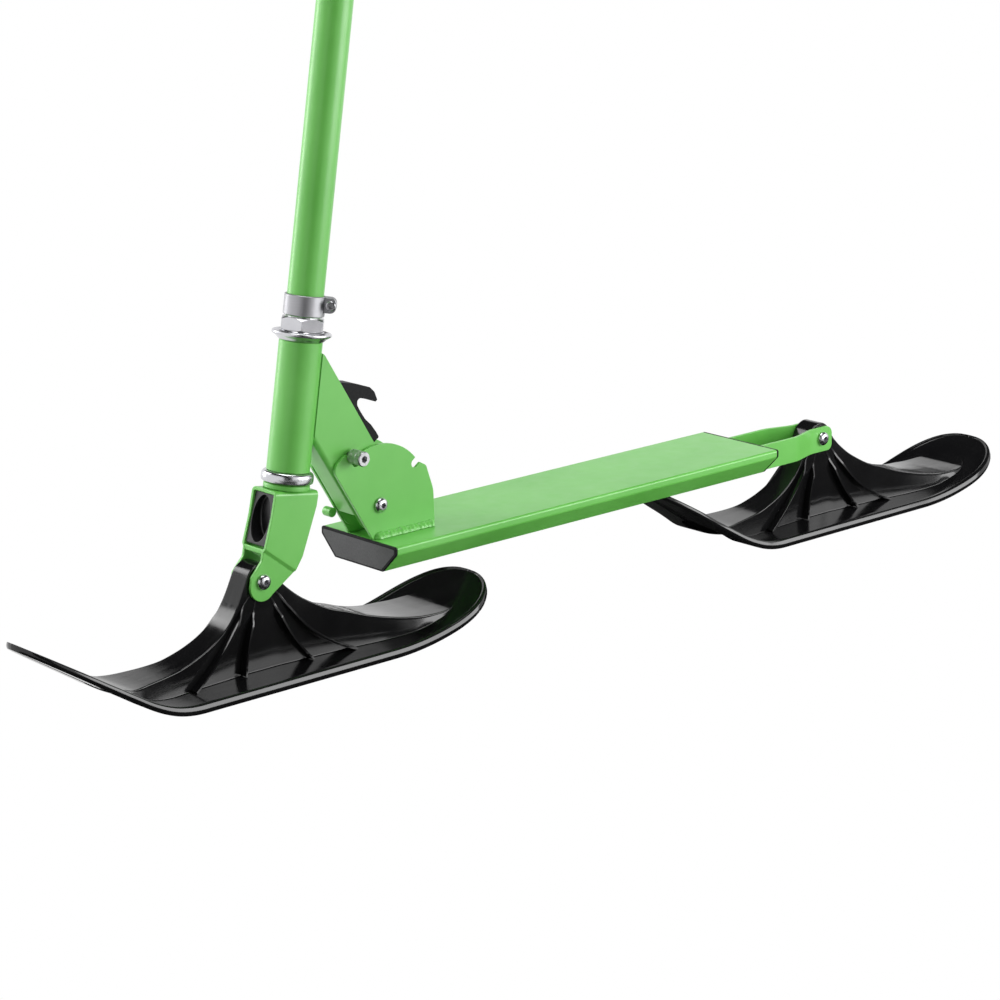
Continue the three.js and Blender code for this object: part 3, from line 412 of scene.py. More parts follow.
def patternOn(nodes, links, scale, detail, stretch=None, turn=None):
    source = nodes.new("ShaderNodeTexCoord").outputs["Object"]
    if stretch:
        mapping = nodes.new("ShaderNodeMapping")
        mapping.inputs["Scale"].default_value = stretch
        if turn:
            mapping.inputs["Rotation"].default_value = turn
        links.new(source, mapping.inputs["Vector"])
        source = mapping.outputs["Vector"]
    noise = nodes.new("ShaderNodeTexNoise")
    noise.inputs["Scale"].default_value = scale
    noise.inputs["Detail"].default_value = detail
    links.new(source, noise.inputs["Vector"])
    return noise.outputs["Fac"]


def cellsOn(nodes, links, scale):
    cells = nodes.new("ShaderNodeTexVoronoi")
    cells.inputs["Scale"].default_value = scale
    links.new(nodes.new("ShaderNodeTexCoord").outputs["Object"], cells.inputs["Vector"])
    return cells.outputs["Distance"]


def rampOver(nodes, links, factor, stops):
    ramp = nodes.new("ShaderNodeValToRGB")
    elements = ramp.color_ramp.elements
    elements[0].position, elements[0].color = stops[0][0], (*stops[0][1], 1)
    elements[1].position, elements[1].color = stops[-1][0], (*stops[-1][1], 1)
    for place, colour in stops[1:-1]:
        elements.new(place).color = (*colour, 1)
    links.new(factor, ramp.inputs["Fac"])
    return ramp.outputs["Color"]


def spreadRoughness(nodes, links, shader, pattern, low, high):
    spread = nodes.new("ShaderNodeMapRange")
    for name, value in {**patternRange, "To Min": low, "To Max": high}.items():
        spread.inputs[name].default_value = value
    links.new(pattern, spread.inputs["Value"])
    links.new(spread.outputs["Result"], shader.inputs["Roughness"])


def reliefFrom(nodes, links, shader, height, strength, depth):
    bump = nodes.new("ShaderNodeBump")
    bump.inputs["Strength"].default_value = strength
    bump.inputs["Distance"].default_value = depth * mm
    links.new(height, bump.inputs["Height"])
    links.new(bump.outputs["Normal"], shader.inputs["Normal"])


def makeFinish(name):
    look = finishes[name]
    material = bpy.data.materials.new(name)
    material.use_nodes = True
    nodes, links = material.node_tree.nodes, material.node_tree.links
    shader = nodes["Principled BSDF"]
    shader.inputs["Base Color"].default_value = (*look["colour"], 1)
    shader.inputs["Metallic"].default_value = look.get("metal", 0)
    shader.inputs["Roughness"].default_value = look["rough"]
    cells = look.get("cells")
    grain = cellsOn(nodes, links, cells) if cells else patternOn(nodes, links, *look["grain"])
    links.new(rampOver(nodes, links, grain, look["stops"]), shader.inputs["Base Color"])
    gloss = patternOn(nodes, links, *look["gloss"]) if "gloss" in look else grain
    spreadRoughness(nodes, links, shader, gloss, *look["roughness"])
    if "bump" in look:
        height = patternOn(nodes, links, *look["relief"]) if "relief" in look else grain
        reliefFrom(nodes, links, shader, height, *look["bump"])
    if "shine" in look:
        shader.inputs["Specular IOR Level"].default_value = look["shine"]
    return material


def makePowderCoat():
    material = makeFinish("greenPowderCoat")
    nodes, links = material.node_tree.nodes, material.node_tree.links
    shader = nodes["Principled BSDF"]
    tint = shader.inputs["Base Color"].links[0].from_socket
    mix = nodes.new("ShaderNodeMix")
    mix.data_type = "RGBA"
    rub = rampOver(nodes, links, patternOn(nodes, links, *scuff["grain"]), scuff["stops"])
    links.new(rub, mix.inputs["Factor"])
    links.new(tint, mix.inputs["A"])
    mix.inputs["B"].default_value = (*scuff["colour"], 1)
    links.new(mix.outputs["Result"], shader.inputs["Base Color"])
    for name, value in clearCoat.items():
        shader.inputs[name].default_value = value
    return material


chrome = makeFinish("brightChrome")
steel = makeFinish("plainSteel")
insertTrim = makeFinish("insertMoulding")
barAluminium = makeFinish("barAluminium")
slotMaterials = {
    "green_paint": makePowderCoat(),
    "black_moulding": makeFinish("blackSkiMoulding"),
    "black_trim": makeFinish("blackTrimMoulding"),
    "grey_cap": makeFinish("greyCapMoulding"),
    "grip_foam": makeFinish("gripFoam"),
    "bright_chrome": chrome,
    "plain_steel": steel,
    "bare_aluminium": makeFinish("turnedAluminium"),
}
print("finishes made")

# Camera, floor and lights, in metres
studio = {
    "cameraAt": (2.0452, 2.1203, 0.8985),
    "lookAt": (0.0691, 0, 0.10129),
    "roll": -0.2,
    "lens": 117.35,
    "sensor": 36,
    "white": 1.0,
    "skyFill": 0.26,
    "floor": 0.62,
    "floorSize": 30,
    "floorAt": -0.0004,
    "floorGloss": 0.1,
    "mirroredFloor": 0.97,
    "cardShade": 0.03,
    "matte": 0.9,
    "lightsAimAt": (0.1, 0, 0.2),
}
cardFloor = studio["floorAt"] / 2
# the fill lights only show in the shading, and the strips only in reflections
lamps = [
    {"name": "noseFill", "at": (1.54, -1.71, 0.90), "size": (2.4, 1.6), "power": 49, "mirrored": False},
    {"name": "ridgeStrip", "at": (1.47, -1.78, 1.46), "size": (1.0, 0.8), "power": 12.5, "lights": False},
    {"name": "tubeStrip", "at": (1.05, -2.07, 0.70), "size": (0.5, 1.4), "power": 13, "lights": False},
    {"name": "tailSoftbox", "at": (-1.15, 1.75, 0.62), "size": (1.8, 1.1), "power": 34},
    {"name": "topSoftbox", "at": (0, 0, 2.8), "size": (1.6, 1.6), "power": 36},
]
# dark cards that only reflections see, as round any studio shot of bright metal and black plastic
cards = [
    {"name": "overheadCard", "at": (0, -1.5, 3.3), "facing": (0, 0, -1), "size": (10, 10)},
    {"name": "cameraCard", "at": (2.3, 2.9, 1.3), "facing": (-2.3, -2.9, -1.0), "size": (2.6, 2.6)},
    {"name": "frontSkiCard", "at": (0.43, 0.115, cardFloor), "facing": (0, 0, 1), "size": (0.65, 0.33)},
    {"name": "rearSkiCard", "at": (-0.45, 0, cardFloor), "facing": (0, 0, 1), "size": (1.1, 0.6)},
    {"name": "cameraFloorCard", "at": (1.3, 1.3, cardFloor), "facing": (0, 0, 1), "size": (2, 2)},
    {"name": "sideFloorCard", "at": (-0.7, 1.9, cardFloor), "facing": (0, 0, 1), "size": (1.9, 1.8)},
]


def makeCamera():
    deselectAll()
    bpy.ops.object.camera_add(location=studio["cameraAt"])
    camera = bpy.context.object
    back = (Vector(studio["cameraAt"]) - Vector(studio["lookAt"])).normalized()
    right = Vector((0, 0, 1)).cross(back).normalized()
    up = back.cross(right)
    roll = math.radians(studio["roll"])
    leanRight = right * math.cos(roll) + up * math.sin(roll)
    leanUp = up * math.cos(roll) - right * math.sin(roll)
    camera.rotation_mode = "QUATERNION"
    camera.rotation_quaternion = Matrix((leanRight, leanUp, back)).transposed().to_quaternion()
    camera.data.sensor_width = studio["sensor"]
    camera.data.lens = studio["lens"]
    bpy.context.scene.camera = camera


def mattePaint(name, shade, gloss):
    material = bpy.data.materials.new(name)
    material.use_nodes = True
    shader = material.node_tree.nodes["Principled BSDF"]
    shader.inputs["Base Color"].default_value = (shade, shade, shade, 1)
    shader.inputs["Roughness"].default_value = studio["matte"]
    shader.inputs["Specular IOR Level"].default_value = gloss
    return material, shader


def sumNode(nodes, links, operation, first, second):
    result = nodes.new("ShaderNodeMath")
    result.operation = operation
    links.new(first, result.inputs[0])
    if isinstance(second, float):
        result.inputs[1].default_value = second
    else:
        links.new(second, result.inputs[1])
    return result.outputs["Value"]


def blendOf(nodes, links, share, first, second):
    blend = nodes.new("ShaderNodeMixShader")
    links.new(share, blend.inputs["Fac"])
    links.new(first, blend.inputs[1])
    links.new(second, blend.inputs[2])
    return blend.outputs["Shader"]


def makeFloor():
    deselectAll()
    bpy.ops.mesh.primitive_plane_add(size=studio["floorSize"], location=(0, 0, studio["floorAt"]))
    floor = bpy.context.object
    floor.name = "floor"
    material, shader = mattePaint("paleFloor", studio["floor"], studio["floorGloss"])
    nodes, links = material.node_tree.nodes, material.node_tree.links
    glow = nodes.new("ShaderNodeEmission")
    glow.inputs["Strength"].default_value = studio["white"]
    path = nodes.new("ShaderNodeLightPath")
    mirrored = sumNode(nodes, links, "MULTIPLY", path.outputs["Is Glossy Ray"], studio["mirroredFloor"])
    surface = blendOf(nodes, links, mirrored, shader.outputs["BSDF"], glow.outputs["Emission"])
    # the camera sees the white air through the floor, so a ski that dips below it still shows whole
    clear = nodes.new("ShaderNodeBsdfTransparent")
    surface = blendOf(nodes, links, path.outputs["Is Camera Ray"], surface, clear.outputs["BSDF"])
    links.new(surface, nodes["Material Output"].inputs["Surface"])
    floor.data.materials.append(material)


def makeAir():
    # white for the camera and in reflections, and a weaker fill for the shading
    world = bpy.data.worlds.new("studioAir")
    bpy.context.scene.world = world
    world.use_nodes = True
    nodes, links = world.node_tree.nodes, world.node_tree.links
    nodes.clear()
    fills = []
    for strength in (studio["skyFill"], studio["white"]):
        air = nodes.new("ShaderNodeBackground")
        air.inputs["Color"].default_value = (1, 1, 1, 1)
        air.inputs["Strength"].default_value = strength
        fills.append(air.outputs["Background"])
    path = nodes.new("ShaderNodeLightPath").outputs
    sharp = sumNode(nodes, links, "MAXIMUM", path["Is Camera Ray"], path["Is Glossy Ray"])
    sharp = sumNode(nodes, links, "MAXIMUM", sharp, path["Is Transmission Ray"])
    out = nodes.new("ShaderNodeOutputWorld")
    links.new(blendOf(nodes, links, sharp, *fills), out.inputs["Surface"])


def addLamps():
    for lamp in lamps:
        deselectAll()
        bpy.ops.object.light_add(type="AREA", location=lamp["at"])
        light = bpy.context.object
        light.name = lamp["name"]
        light.data.shape = "RECTANGLE"
        light.data.size, light.data.size_y = lamp["size"]
        light.data.energy = lamp["power"]
        light.visible_glossy = lamp.get("mirrored", True)
        light.visible_diffuse = lamp.get("lights", True)
        aim = Vector(studio["lightsAimAt"]) - Vector(lamp["at"])
        light.rotation_euler = aim.to_track_quat("-Z", "Y").to_euler()


def addCards():
    for card in cards:
        deselectAll()
        bpy.ops.mesh.primitive_plane_add(size=1, location=card["at"])
        board = bpy.context.object
        board.name = card["name"]
        board.scale = (*card["size"], 1)
        board.rotation_euler = Vector(card["facing"]).to_track_quat("Z", "Y").to_euler()
        board.visible_camera = board.visible_diffuse = board.visible_shadow = False
        board.visible_transmission = board.visible_volume_scatter = False
        board.data.materials.append(mattePaint(card["name"] + "Paint", studio["cardShade"], 0)[0])


bpy.context.scene.view_settings.view_transform = "Standard"
makeCamera()
makeFloor()
makeAir()
addLamps()
addCards()
print("camera, floor and lights set")

# Skis
ski = {
    "nose": 252, "tail": 252, "width": 112, "floor": 7, "rim": 2, "wall": 3.5,
    "soleFront": 96, "soleRear": 115, "noseRadius": 108, "noseAngle": 32, "tailRadius": 290,
    "noseTaper": 120, "noseShoulder": 186, "noseShare": 0.79, "nosePower": 0.57, "noseThins": 0.35,
    "tailShoulder": 183, "tailPower": 2.6, "tip": 0.1,
    "hubRadius": 15.6, "hubWidth": 21.4, "hubRear": -12.9, "hubFront": 13.6, "bore": 6.5,
    "spread": 29.8, "flare": 2, "knee": 60, "tongue": 17, "frontTongue": 14, "smoothAngle": 34,
}
# how the ridge, its foot, the rim and the hollow below share the ski's width and height
skiShares = {
    "tongueBlend": 9, "tongueRound": 30, "frontRound": 26, "flatRise": 0.04, "leastRise": 0.7,
    "leastTop": 0.12, "mostTop": 0.56, "mostFoot": 0.6, "flareRise": 4, "crown": 1.2, "crownRise": 0.4,
    "kneeHeight": 0.9, "kneeOut": 0.1, "gutter": 0.04, "gutterWidth": 5, "gutterMost": 0.2,
    "lip": 1.6, "lipMost": 0.06, "rimIn": 1.7, "rimBelly": 0.42, "rimFoot": 1.5,
    "hollowTop": 0.1, "hollowFoot": 0.2, "hollowWall": 0.8, "hollowStep": 0.01, "hollowLow": 0.5,
    "hollowHigh": 0.96, "narrow": 20,
}
skiRounds = {
    "crown": 1.1, "crownRise": 0.5, "knee": 6, "foot": 0.9, "footRise": 0.3, "gutter": 1.6, "lip": 0.8,
    "rimTop": 2.4, "rimSide": 3.4, "rimFoot": 1.6, "hollowFoot": 0.6, "hollowLow": 0.5, "hollowTop": 2,
}
ridgePlaces = [
    (-207, 22.6), (-195, 21.9), (-175, 22.4), (-145, 26), (-115, 33), (-92, 41), (-74, 47), (-57, 55.5),
    (-40, 66), (-22, 82), (-12.9, 95.2), (-8, 99.8), (0, 102), (8, 99.8), (13.6, 94), (18, 85.3), (22, 76.8),
    (26, 69.4), (31, 61.8), (38, 53.8), (47, 46.4), (58, 40), (74, 33.5), (95, 28), (132, 25.5), (150, 26),
    (162, 29),
]
ridgeShares = [
    (0, 0), (18, 0), (26, 0.03), (50, 0.12), (75, 0.21), (100, 0.34), (130, 0.58),
    (150, 0.82), (168, 1), (252, 1),
]
# shares of the tapered ends where the shell has an edge, and its steps between them
skiSteps = {
    "tail": (0, 0.006, 0.016, 0.03, 0.05, 0.075, 0.11, 0.15, 0.2, 0.26, 0.33, 0.38, 0.42, 0.45, 0.48, 0.51,
             0.54, 0.58, 0.62, 0.66, 0.72, 0.8, 0.9),
    "nose": (1, 0.9, 0.8, 0.7, 0.6, 0.5, 0.41, 0.33, 0.26, 0.2, 0.15, 0.11, 0.075,
             0.05, 0.03, 0.016, 0.006, 0),
    "between": [(17, 0.75), (40, 2), (252, 3.5)], "last": 185,
}
skiRibs = {
    # foot, sag and length of the rise at the hub
    "feet": [(84, -4, 18), (26, 2.5, 13), (-49, 4, 13), (-96, 9, 18)],
    "thickness": 2.2, "reach": 9.2, "hub": 17, "start": 27, "startReach": 1.2, "hubReach": 0.9,
    "shoulder": 4.4,
    "foot": 3.5, "footGap": 1, "sunk": 0.6, "rootOut": 1.4, "rootFlare": 1.15, "below": 0.8, "steps": 34,
    "across": [(-0.5, -2.5), (-0.5, 0.2), (-0.5, 0.93), (-0.38, 1), (0.38, 1), (0.5, 0.93),
               (0.5, 0.2), (0.5, -2.5)],
}


def soleHeight(x):
    angle = math.radians(ski["noseAngle"])
    arcEnd = ski["soleFront"] + ski["noseRadius"] * math.sin(angle)
    if x > arcEnd:
        return ski["noseRadius"] * (1 - math.cos(angle)) + (x - arcEnd) * math.tan(angle)
    if x > ski["soleFront"]:
        return ski["noseRadius"] - math.sqrt(ski["noseRadius"] ** 2 - (x - ski["soleFront"]) ** 2)
    if x < -ski["soleRear"]:
        return ski["tailRadius"] - math.sqrt(ski["tailRadius"] ** 2 - (x + ski["soleRear"]) ** 2)
    return 0


def skiHalfWidth(x):
    half = ski["width"] / 2
    if x > ski["noseTaper"]:
        taper = smoothShare((x - ski["noseTaper"]) / (ski["noseShoulder"] - ski["noseTaper"]))
        wide = half * (1 - (1 - ski["noseShare"]) * taper)
        t = min(1, max(0, (x - ski["noseShoulder"]) / (ski["nose"] - ski["noseShoulder"])))
        return wide * (1 - t * t) ** ski["nosePower"]
    t = min(1, max(0, (-x - ski["tailShoulder"]) / (ski["tail"] - ski["tailShoulder"])))
    return half * (1 - t ** ski["tailPower"]) ** (1 / ski["tailPower"])


def ridgeHalfWidth(x):
    return ski["hubWidth"] / 2 + (ski["spread"] - ski["hubWidth"] / 2) * curveThrough(ridgeShares, abs(x))


def ridgeTop(x):
    if ski["hubRear"] < x < ski["hubFront"]:
        return layout["pivotHeight"] + math.sqrt(ski["hubRadius"] ** 2 - x * x)
    return curveThrough(ridgePlaces, x)


def skiSection(x):
    part, turn = skiShares, skiRounds
    sole = soleHeight(x)
    half = skiHalfWidth(x) + ski["tip"]
    thin = 1 - ski["noseThins"] * min(1, max(0, (x - ski["soleFront"]) / (ski["nose"] - ski["soleFront"])))
    floor = sole + ski["floor"] * thin
    rimTop = floor + ski["rim"] * thin
    pastTail = x - ridgePlaces[0][0] + ski["tongue"]
    beforeNose = ridgePlaces[-1][0] + ski["frontTongue"] - x
    endShare = smoothShare(pastTail / part["tongueBlend"]) * smoothShare(beforeNose / ski["frontTongue"])
    rise = part["flatRise"] + (max(part["leastRise"], ridgeTop(x) - floor) - part["flatRise"]) * endShare
    top = floor + rise
    nearEnd = min(pastTail / part["tongueRound"], beforeNose / part["frontRound"])
    roundEnd = math.sqrt(1 - (1 - min(1, max(0.0, nearEnd))) ** 2)
    topHalf = min(max(ridgeHalfWidth(x) * roundEnd, half * part["leastTop"]), half * part["mostTop"])
    footHalf = min(topHalf + ski["flare"] * min(1, rise / part["flareRise"]), half * part["mostFoot"])
    edge = min(part["crown"], rise * part["crownRise"])
    knee = floor + min(rise - edge, ski["knee"]) * part["kneeHeight"]
    rimInner = half * part["gutter"] + min(part["gutterWidth"], half * part["gutterMost"])
    rimFlat = min(part["lip"], half * part["lipMost"])
    depth = max(1, min(top - sole, layout["pivotHeight"] - ski["hubRadius"] + 1) - ski["wall"])
    hollowTop = max(topHalf - ski["wall"], half * part["hollowTop"])
    hollowFoot = max(footHalf - ski["wall"] * part["hollowWall"], half * part["hollowFoot"])
    hollowLow = sole + min(depth * part["hollowLow"], ski["wall"])
    soft = min(1, half / part["narrow"])
    corners = [
        (topHalf, top, min(turn["crown"], rise * turn["crownRise"]) * soft),
        (topHalf + (footHalf - topHalf) * part["kneeOut"], knee, turn["knee"]),
        (footHalf, floor, min(turn["foot"], rise * turn["footRise"])),
        (half - rimInner, floor, turn["gutter"] * soft),
        (half - rimInner + rimFlat, rimTop, turn["lip"] * soft),
        (half - part["rimIn"] * soft, rimTop, turn["rimTop"] * soft),
        (half, sole + (rimTop - sole) * part["rimBelly"], turn["rimSide"] * soft),
        (half - part["rimFoot"] * soft, sole, turn["rimFoot"] * soft),
        (hollowFoot, sole, turn["hollowFoot"] * soft),
        (hollowFoot - half * part["hollowStep"], hollowLow, turn["hollowLow"] * soft),
        (hollowTop, sole + depth * part["hollowHigh"], turn["hollowTop"] * soft),
    ]
    return roundCorners([(0, top), *corners, (0, sole + depth)], 4, True)


def spacedPlaces():
    tailRun = ski["tail"] - ski["tailShoulder"]
    noseRun = ski["nose"] - ski["noseShoulder"]
    places = [-ski["tail"] + tailRun * t for t in skiSteps["tail"]]
    x = -ski["tailShoulder"]
    while x < skiSteps["last"]:
        places.append(x)
        x += next(step for reach, step in skiSteps["between"] if abs(x) < reach)
    return places + [ski["nose"] - noseRun * t for t in skiSteps["nose"]]


def makeSkiShell():
    places = spacedPlaces()
    rings = []
    for half in (skiSection(x) for x in places):
        rings.append(half + [(-y, z) for y, z in reversed(half[1:-1])])
    size = len(rings[0])

    def layCorner(u, v):
        k = round(v * (len(rings) - 1))
        y, z = rings[k][round(u * size) % size]
        return places[k], y, z

    return laidGrid("skiShell", size, len(rings) - 1, layCorner)


def makeSkiRib(foot, sag, riseLength, side):
    rib, across = skiRibs, skiRibs["across"]
    hubZ = layout["pivotHeight"]
    drop = hubZ - ski["floor"]
    length = math.hypot(foot, drop)
    down = Vector((foot / length, -drop / length))
    over = Vector((-down.y, down.x))
    end = length - rib["footGap"]

    def layCorner(u, v):
        wide, out = across[round(u * len(across)) % len(across)]
        s = rib["hub"] + (end - rib["hub"]) * v
        share = max(0, (s - rib["start"]) / (end - rib["start"]))
        spot = down * s + over * sag * 4 * share * (1 - share)
        rootRun = ridgeHalfWidth(foot) + rib["rootOut"] - ski["hubWidth"] / 2
        root = ski["hubWidth"] / 2 - rib["sunk"] + rootRun * share
        shoulder = rib["shoulder"] * smoothShare((s - rib["start"]) / riseLength)
        leaving = smoothShare((s - rib["hub"]) / (rib["start"] - rib["hub"]))
        flush = rib["hubReach"] + (rib["startReach"] - rib["hubReach"]) * leaving
        reach = flush + shoulder + (rib["reach"] - rib["shoulder"] - rib["startReach"]) * share
        thick = wide * rib["thickness"] * (1 if out > 0 else rib["rootFlare"])
        y = root + (reach * out if out > 0 else out * rib["below"])
        return spot.x + over.x * thick, y * side, max(hubZ + spot.y + over.y * thick, rib["foot"])

    return laidGrid("skiRib", len(across), rib["steps"], layCorner)


def makeSkis():
    shell = makeSkiShell()
    for foot, sag, riseLength in skiRibs["feet"]:
        for side in (1, -1):
            carve(shell, makeSkiRib(foot, sag, riseLength, side), "UNION")
    bore = rod("skiBore", ski["bore"], -through, through, 48)
    standAt(bore, shiftBy(0, 0, layout["pivotHeight"]) @ towardsLeft)
    carve(shell, bore)
    tidyMesh(shell)
    rearShell = plainCopy(shell, "rearSkiBody")
    shell.name = shell.data.name = "frontSkiBody"
    angle = ski["smoothAngle"]
    finishPiece(shell, scooterPlace, "front_ski", "front_runner", "black_moulding", angle)
    finishPiece(rearShell, rearSkiPlace, "rear_ski", "rear_runner", "black_moulding", angle)


# Deck and its end caps; an edge is its width, its segments and the least angle that it rounds
deck = {"width": 101.4, "top": 100.4, "depth": 25.8, "bottomWidth": 65, "lip": 7.2, "sheet": 2,
        "front": -122.5, "rear": -615.4, "outerFold": 2.4, "innerFold": 0.8, "lipFold": 3, "lipInner": 1.2,
        "lipEnd": 0.5, "edge": (0.35, 2, 50)}
cap = {"thick": 2.3, "plug": 12, "fit": 0.3, "overlap": 1, "corner": 2.2, "plugCorner": 1.5, "slotFoot": 60,
       "slotDeep": 9, "edge": (0.55, 3, 40), "plugEdge": (0.5, 2, 50), "thinEdge": (0.3, 2, 50)}
capPanel = {"inset": 2.4, "corner": 1.6, "sunk": 0.8, "proud": 0.12, "edge": (0.1, 2, 50)}


def deckOutline(inset):
    half, bottomHalf = deck["width"] / 2, deck["bottomWidth"] / 2
    run, rise = half - bottomHalf, deck["depth"] - deck["lip"]
    length = math.hypot(run, rise)
    bottomY = bottomHalf - inset * rise / length
    bottomZ = deck["top"] - deck["depth"] + inset * run / length
    foldZ = bottomZ + (half - inset - bottomY) * rise / run
    return [(half - inset, deck["top"] - inset), (half - inset, foldZ), (bottomY, bottomZ)]


def bothSides(half):
    return half + [(-corner[0], *corner[1:]) for corner in reversed(half)]


def makeDeck():
    outer, inner = deckOutline(0), deckOutline(deck["sheet"])
    folds = [(*outer[0], deck["outerFold"]), (*outer[1], deck["lipFold"]), (*outer[2], deck["lipEnd"]),
             (*inner[2], deck["lipEnd"]), (*inner[1], deck["lipInner"]), (*inner[0], deck["innerFold"])]
    body = drawnOut("deckShell", roundCorners(bothSides(folds), 6), "end", deck["rear"], deck["front"])
    softenEdges(body, *deck["edge"])
    finishPiece(body, scooterPlace, "deck_plate", "chassis", "green_paint")


def capOutline(inset, radius):
    return roundCorners(bothSides([(*corner, radius) for corner in deckOutline(inset)]), 6)


def makeCaps():
    front, face = deck["front"], deck["front"] + cap["thick"]
    cover = drawnOut("frontCap", capOutline(0, cap["corner"]), "end", front + cap["fit"], face)
    softenEdges(cover, *cap["edge"])
    plug = drawnOut("frontPlug", capOutline(deck["sheet"] + cap["fit"], cap["plugCorner"]), "end",
                    front - cap["plug"], front + cap["overlap"])
    softenEdges(plug, *cap["plugEdge"])
    joinPieces(cover, plug)
    finishPiece(cover, scooterPlace, "deck_front_cap", "chassis", "black_trim")
    panel = drawnOut("frontCapPanel", capOutline(capPanel["inset"], capPanel["corner"]), "end",
                     face - capPanel["sunk"], face + capPanel["proud"])
    softenEdges(panel, *capPanel["edge"])
    finishPiece(panel, scooterPlace, None, "chassis", "grey_cap")
    rear = deck["rear"]
    thin = drawnOut("rearCap", capOutline(0, cap["corner"]), "end", rear - cap["thick"], rear - cap["fit"])
    for side in (1, -1):
        middle = side * (arm["inner"] + arm["sheet"] / 2)
        reach = arm["sheet"] / 2 + cap["fit"]
        foot, head = cap["slotFoot"], arm["top"] + cap["fit"]
        slot = [(middle - reach, foot), (middle + reach, foot),
                (middle + reach, head), (middle - reach, head)]
        carve(thin, drawnOut("capSlot", slot, "end", rear - cap["slotDeep"], rear + cap["slotDeep"]))
    softenEdges(thin, *cap["thinEdge"])
    finishPiece(thin, scooterPlace, "deck_rear_cap", "chassis", "black_trim")


# Rear arms, set in towards the ski's hub
arm = {"inner": 20.2, "nearHub": 11.2, "sheet": 3, "bendStart": -677, "bendEnd": -706, "front": -558.4,
       "back": -738, "top": 98.1, "bottom": 72.8, "bore": 4.3, "corners": (2, 2, 9, 6), "edge": (0.5, 3, 40),
       "bandSteps": (5, 3, 1, -1, -3, -5)}


def makeArms():
    ends = [(arm["front"], arm["bottom"]), (arm["front"], arm["top"]), (arm["back"], arm["top"]),
            (arm["back"], arm["bottom"])]
    outline = roundCorners([(*end, radius) for end, radius in zip(ends, arm["corners"])], 8)
    strap = drawnOut("rearArmLeft", outline, "side", 0, arm["sheet"])
    boreThrough(strap, "side", -layout["wheelbase"], layout["pivotHeight"], arm["bore"])
    softenEdges(strap, *arm["edge"])
    start, end, steps = arm["bendStart"], arm["bendEnd"], arm["bandSteps"]
    bandCuts(strap, (0, 0, 0), (1, 0, 0), [bend + step for bend in (start, end) for step in steps])
    drop = arm["inner"] - arm["nearHub"]
    for vertex in strap.data.vertices:
        x = vertex.co.x / mm
        shares = [min(1, max(0, (start - x + step) / (start - end))) for step in steps]
        vertex.co.y += (arm["inner"] - drop * sum(shares) / len(shares)) * mm
    tidyMesh(strap)
    other = mirroredCopy(strap, "rearArmRight")
    finishPiece(strap, scooterPlace, "rear_arm_left", "chassis", "green_paint")
    finishPiece(other, scooterPlace, "rear_arm_right", "chassis", "green_paint")


# Bolts and nuts; dome and barrel are shares and sizes of their turned outlines
bolt = {"radius": 4, "head": 7, "height": 4.4, "socket": 2.9, "socketDepth": 2.8, "threads": 9, "crest": 0.15,
        "root": 0.55, "tip": 0.8, "runOut": 0.6, "angle": 28,
        "dome": ((0.93, 0), (0.985, 0.03), (1, 0.1), (1, 0.24), (0.97, 0.42), (0.9, 0.6), (0.79, 0.77),
                 (0.66, 0.9), (0.55, 0.965), (0.49, 0.99), (0.45, 1))}
nut = {"corner": 7.5, "height": 6.5, "hexagon": 5.1, "bore": 4.3, "angle": 28,
       "barrel": [(0, -0.1), (6.4, -0.1), (6.7, 0), (7.6, 0.8), (7.6, 4.4), (6.9, 5.1), (6.5, 5.2), (0, 5.2)],
       "collar": [(3, 4.5), (6.0, 4.5), (6.0, 5.9), (5.7, 6.3), (5.2, 6.5), (4.6, 6.5), (3, 6.5)]}
axles = [
    {"name": "rear", "node": "rear_axle", "seat": 14.5, "reach": 36.2, "place": rearPivot, "body": "chassis"},
    {"name": "front", "node": "front_axle", "seat": 14.5, "reach": 36.2, "place": frontPivot,
     "body": "steering"},
    {"name": "hinge", "node": "hinge", "seat": 17.6, "reach": 42.4, "place": hingePlace, "body": "chassis"},
]


def makeAxle(axle):
    # a domed head with a hexagon socket, drawn with its head up and then laid across the scooter
    radius, end = bolt["radius"], -axle["reach"]
    crest, root = radius - bolt["crest"], radius - bolt["root"]
    dome = [(bolt["head"] * r, bolt["height"] * h) for r, h in bolt["dome"]]
    thread = []
    for k in range(1, bolt["threads"] + 1):
        thread += [(crest, end + k), (root, end + k + 0.5)]
    last = end + bolt["threads"] + 1
    profile = [(0, end), (radius - bolt["tip"], end), *thread, (crest, last), (radius, last + bolt["runOut"]),
               (radius, 0), *dome, (0, bolt["height"])]
    piece = turnedPiece(axle["name"] + "Bolt", profile, 64)
    socketFoot = bolt["height"] - bolt["socketDepth"]
    carve(piece, drawnOut("hexSocket", circleAt(0, 0, bolt["socket"], 6), "plan", socketFoot, through))
    standAt(piece, shiftBy(0, axle["seat"], 0) @ towardsLeft)
    finishPiece(piece, axle["place"], axle["node"] + "_bolt", axle["body"], "bright_chrome", bolt["angle"])

    sides = drawnOut(axle["name"] + "Nut", circleAt(0, 0, nut["corner"], 6), "plan", 0, nut["hexagon"])
    carve(sides, turnedPiece("nutBarrel", nut["barrel"], 72), "INTERSECT")
    carve(sides, turnedPiece("nutCollar", nut["collar"], 64), "UNION")
    carve(sides, rod("nutBore", nut["bore"], -through, through, 48))
    standAt(sides, shiftBy(0, -axle["seat"], 0) @ towardsRight)
    finishPiece(sides, axle["place"], axle["node"] + "_nut", axle["body"], "bright_chrome", nut["angle"])


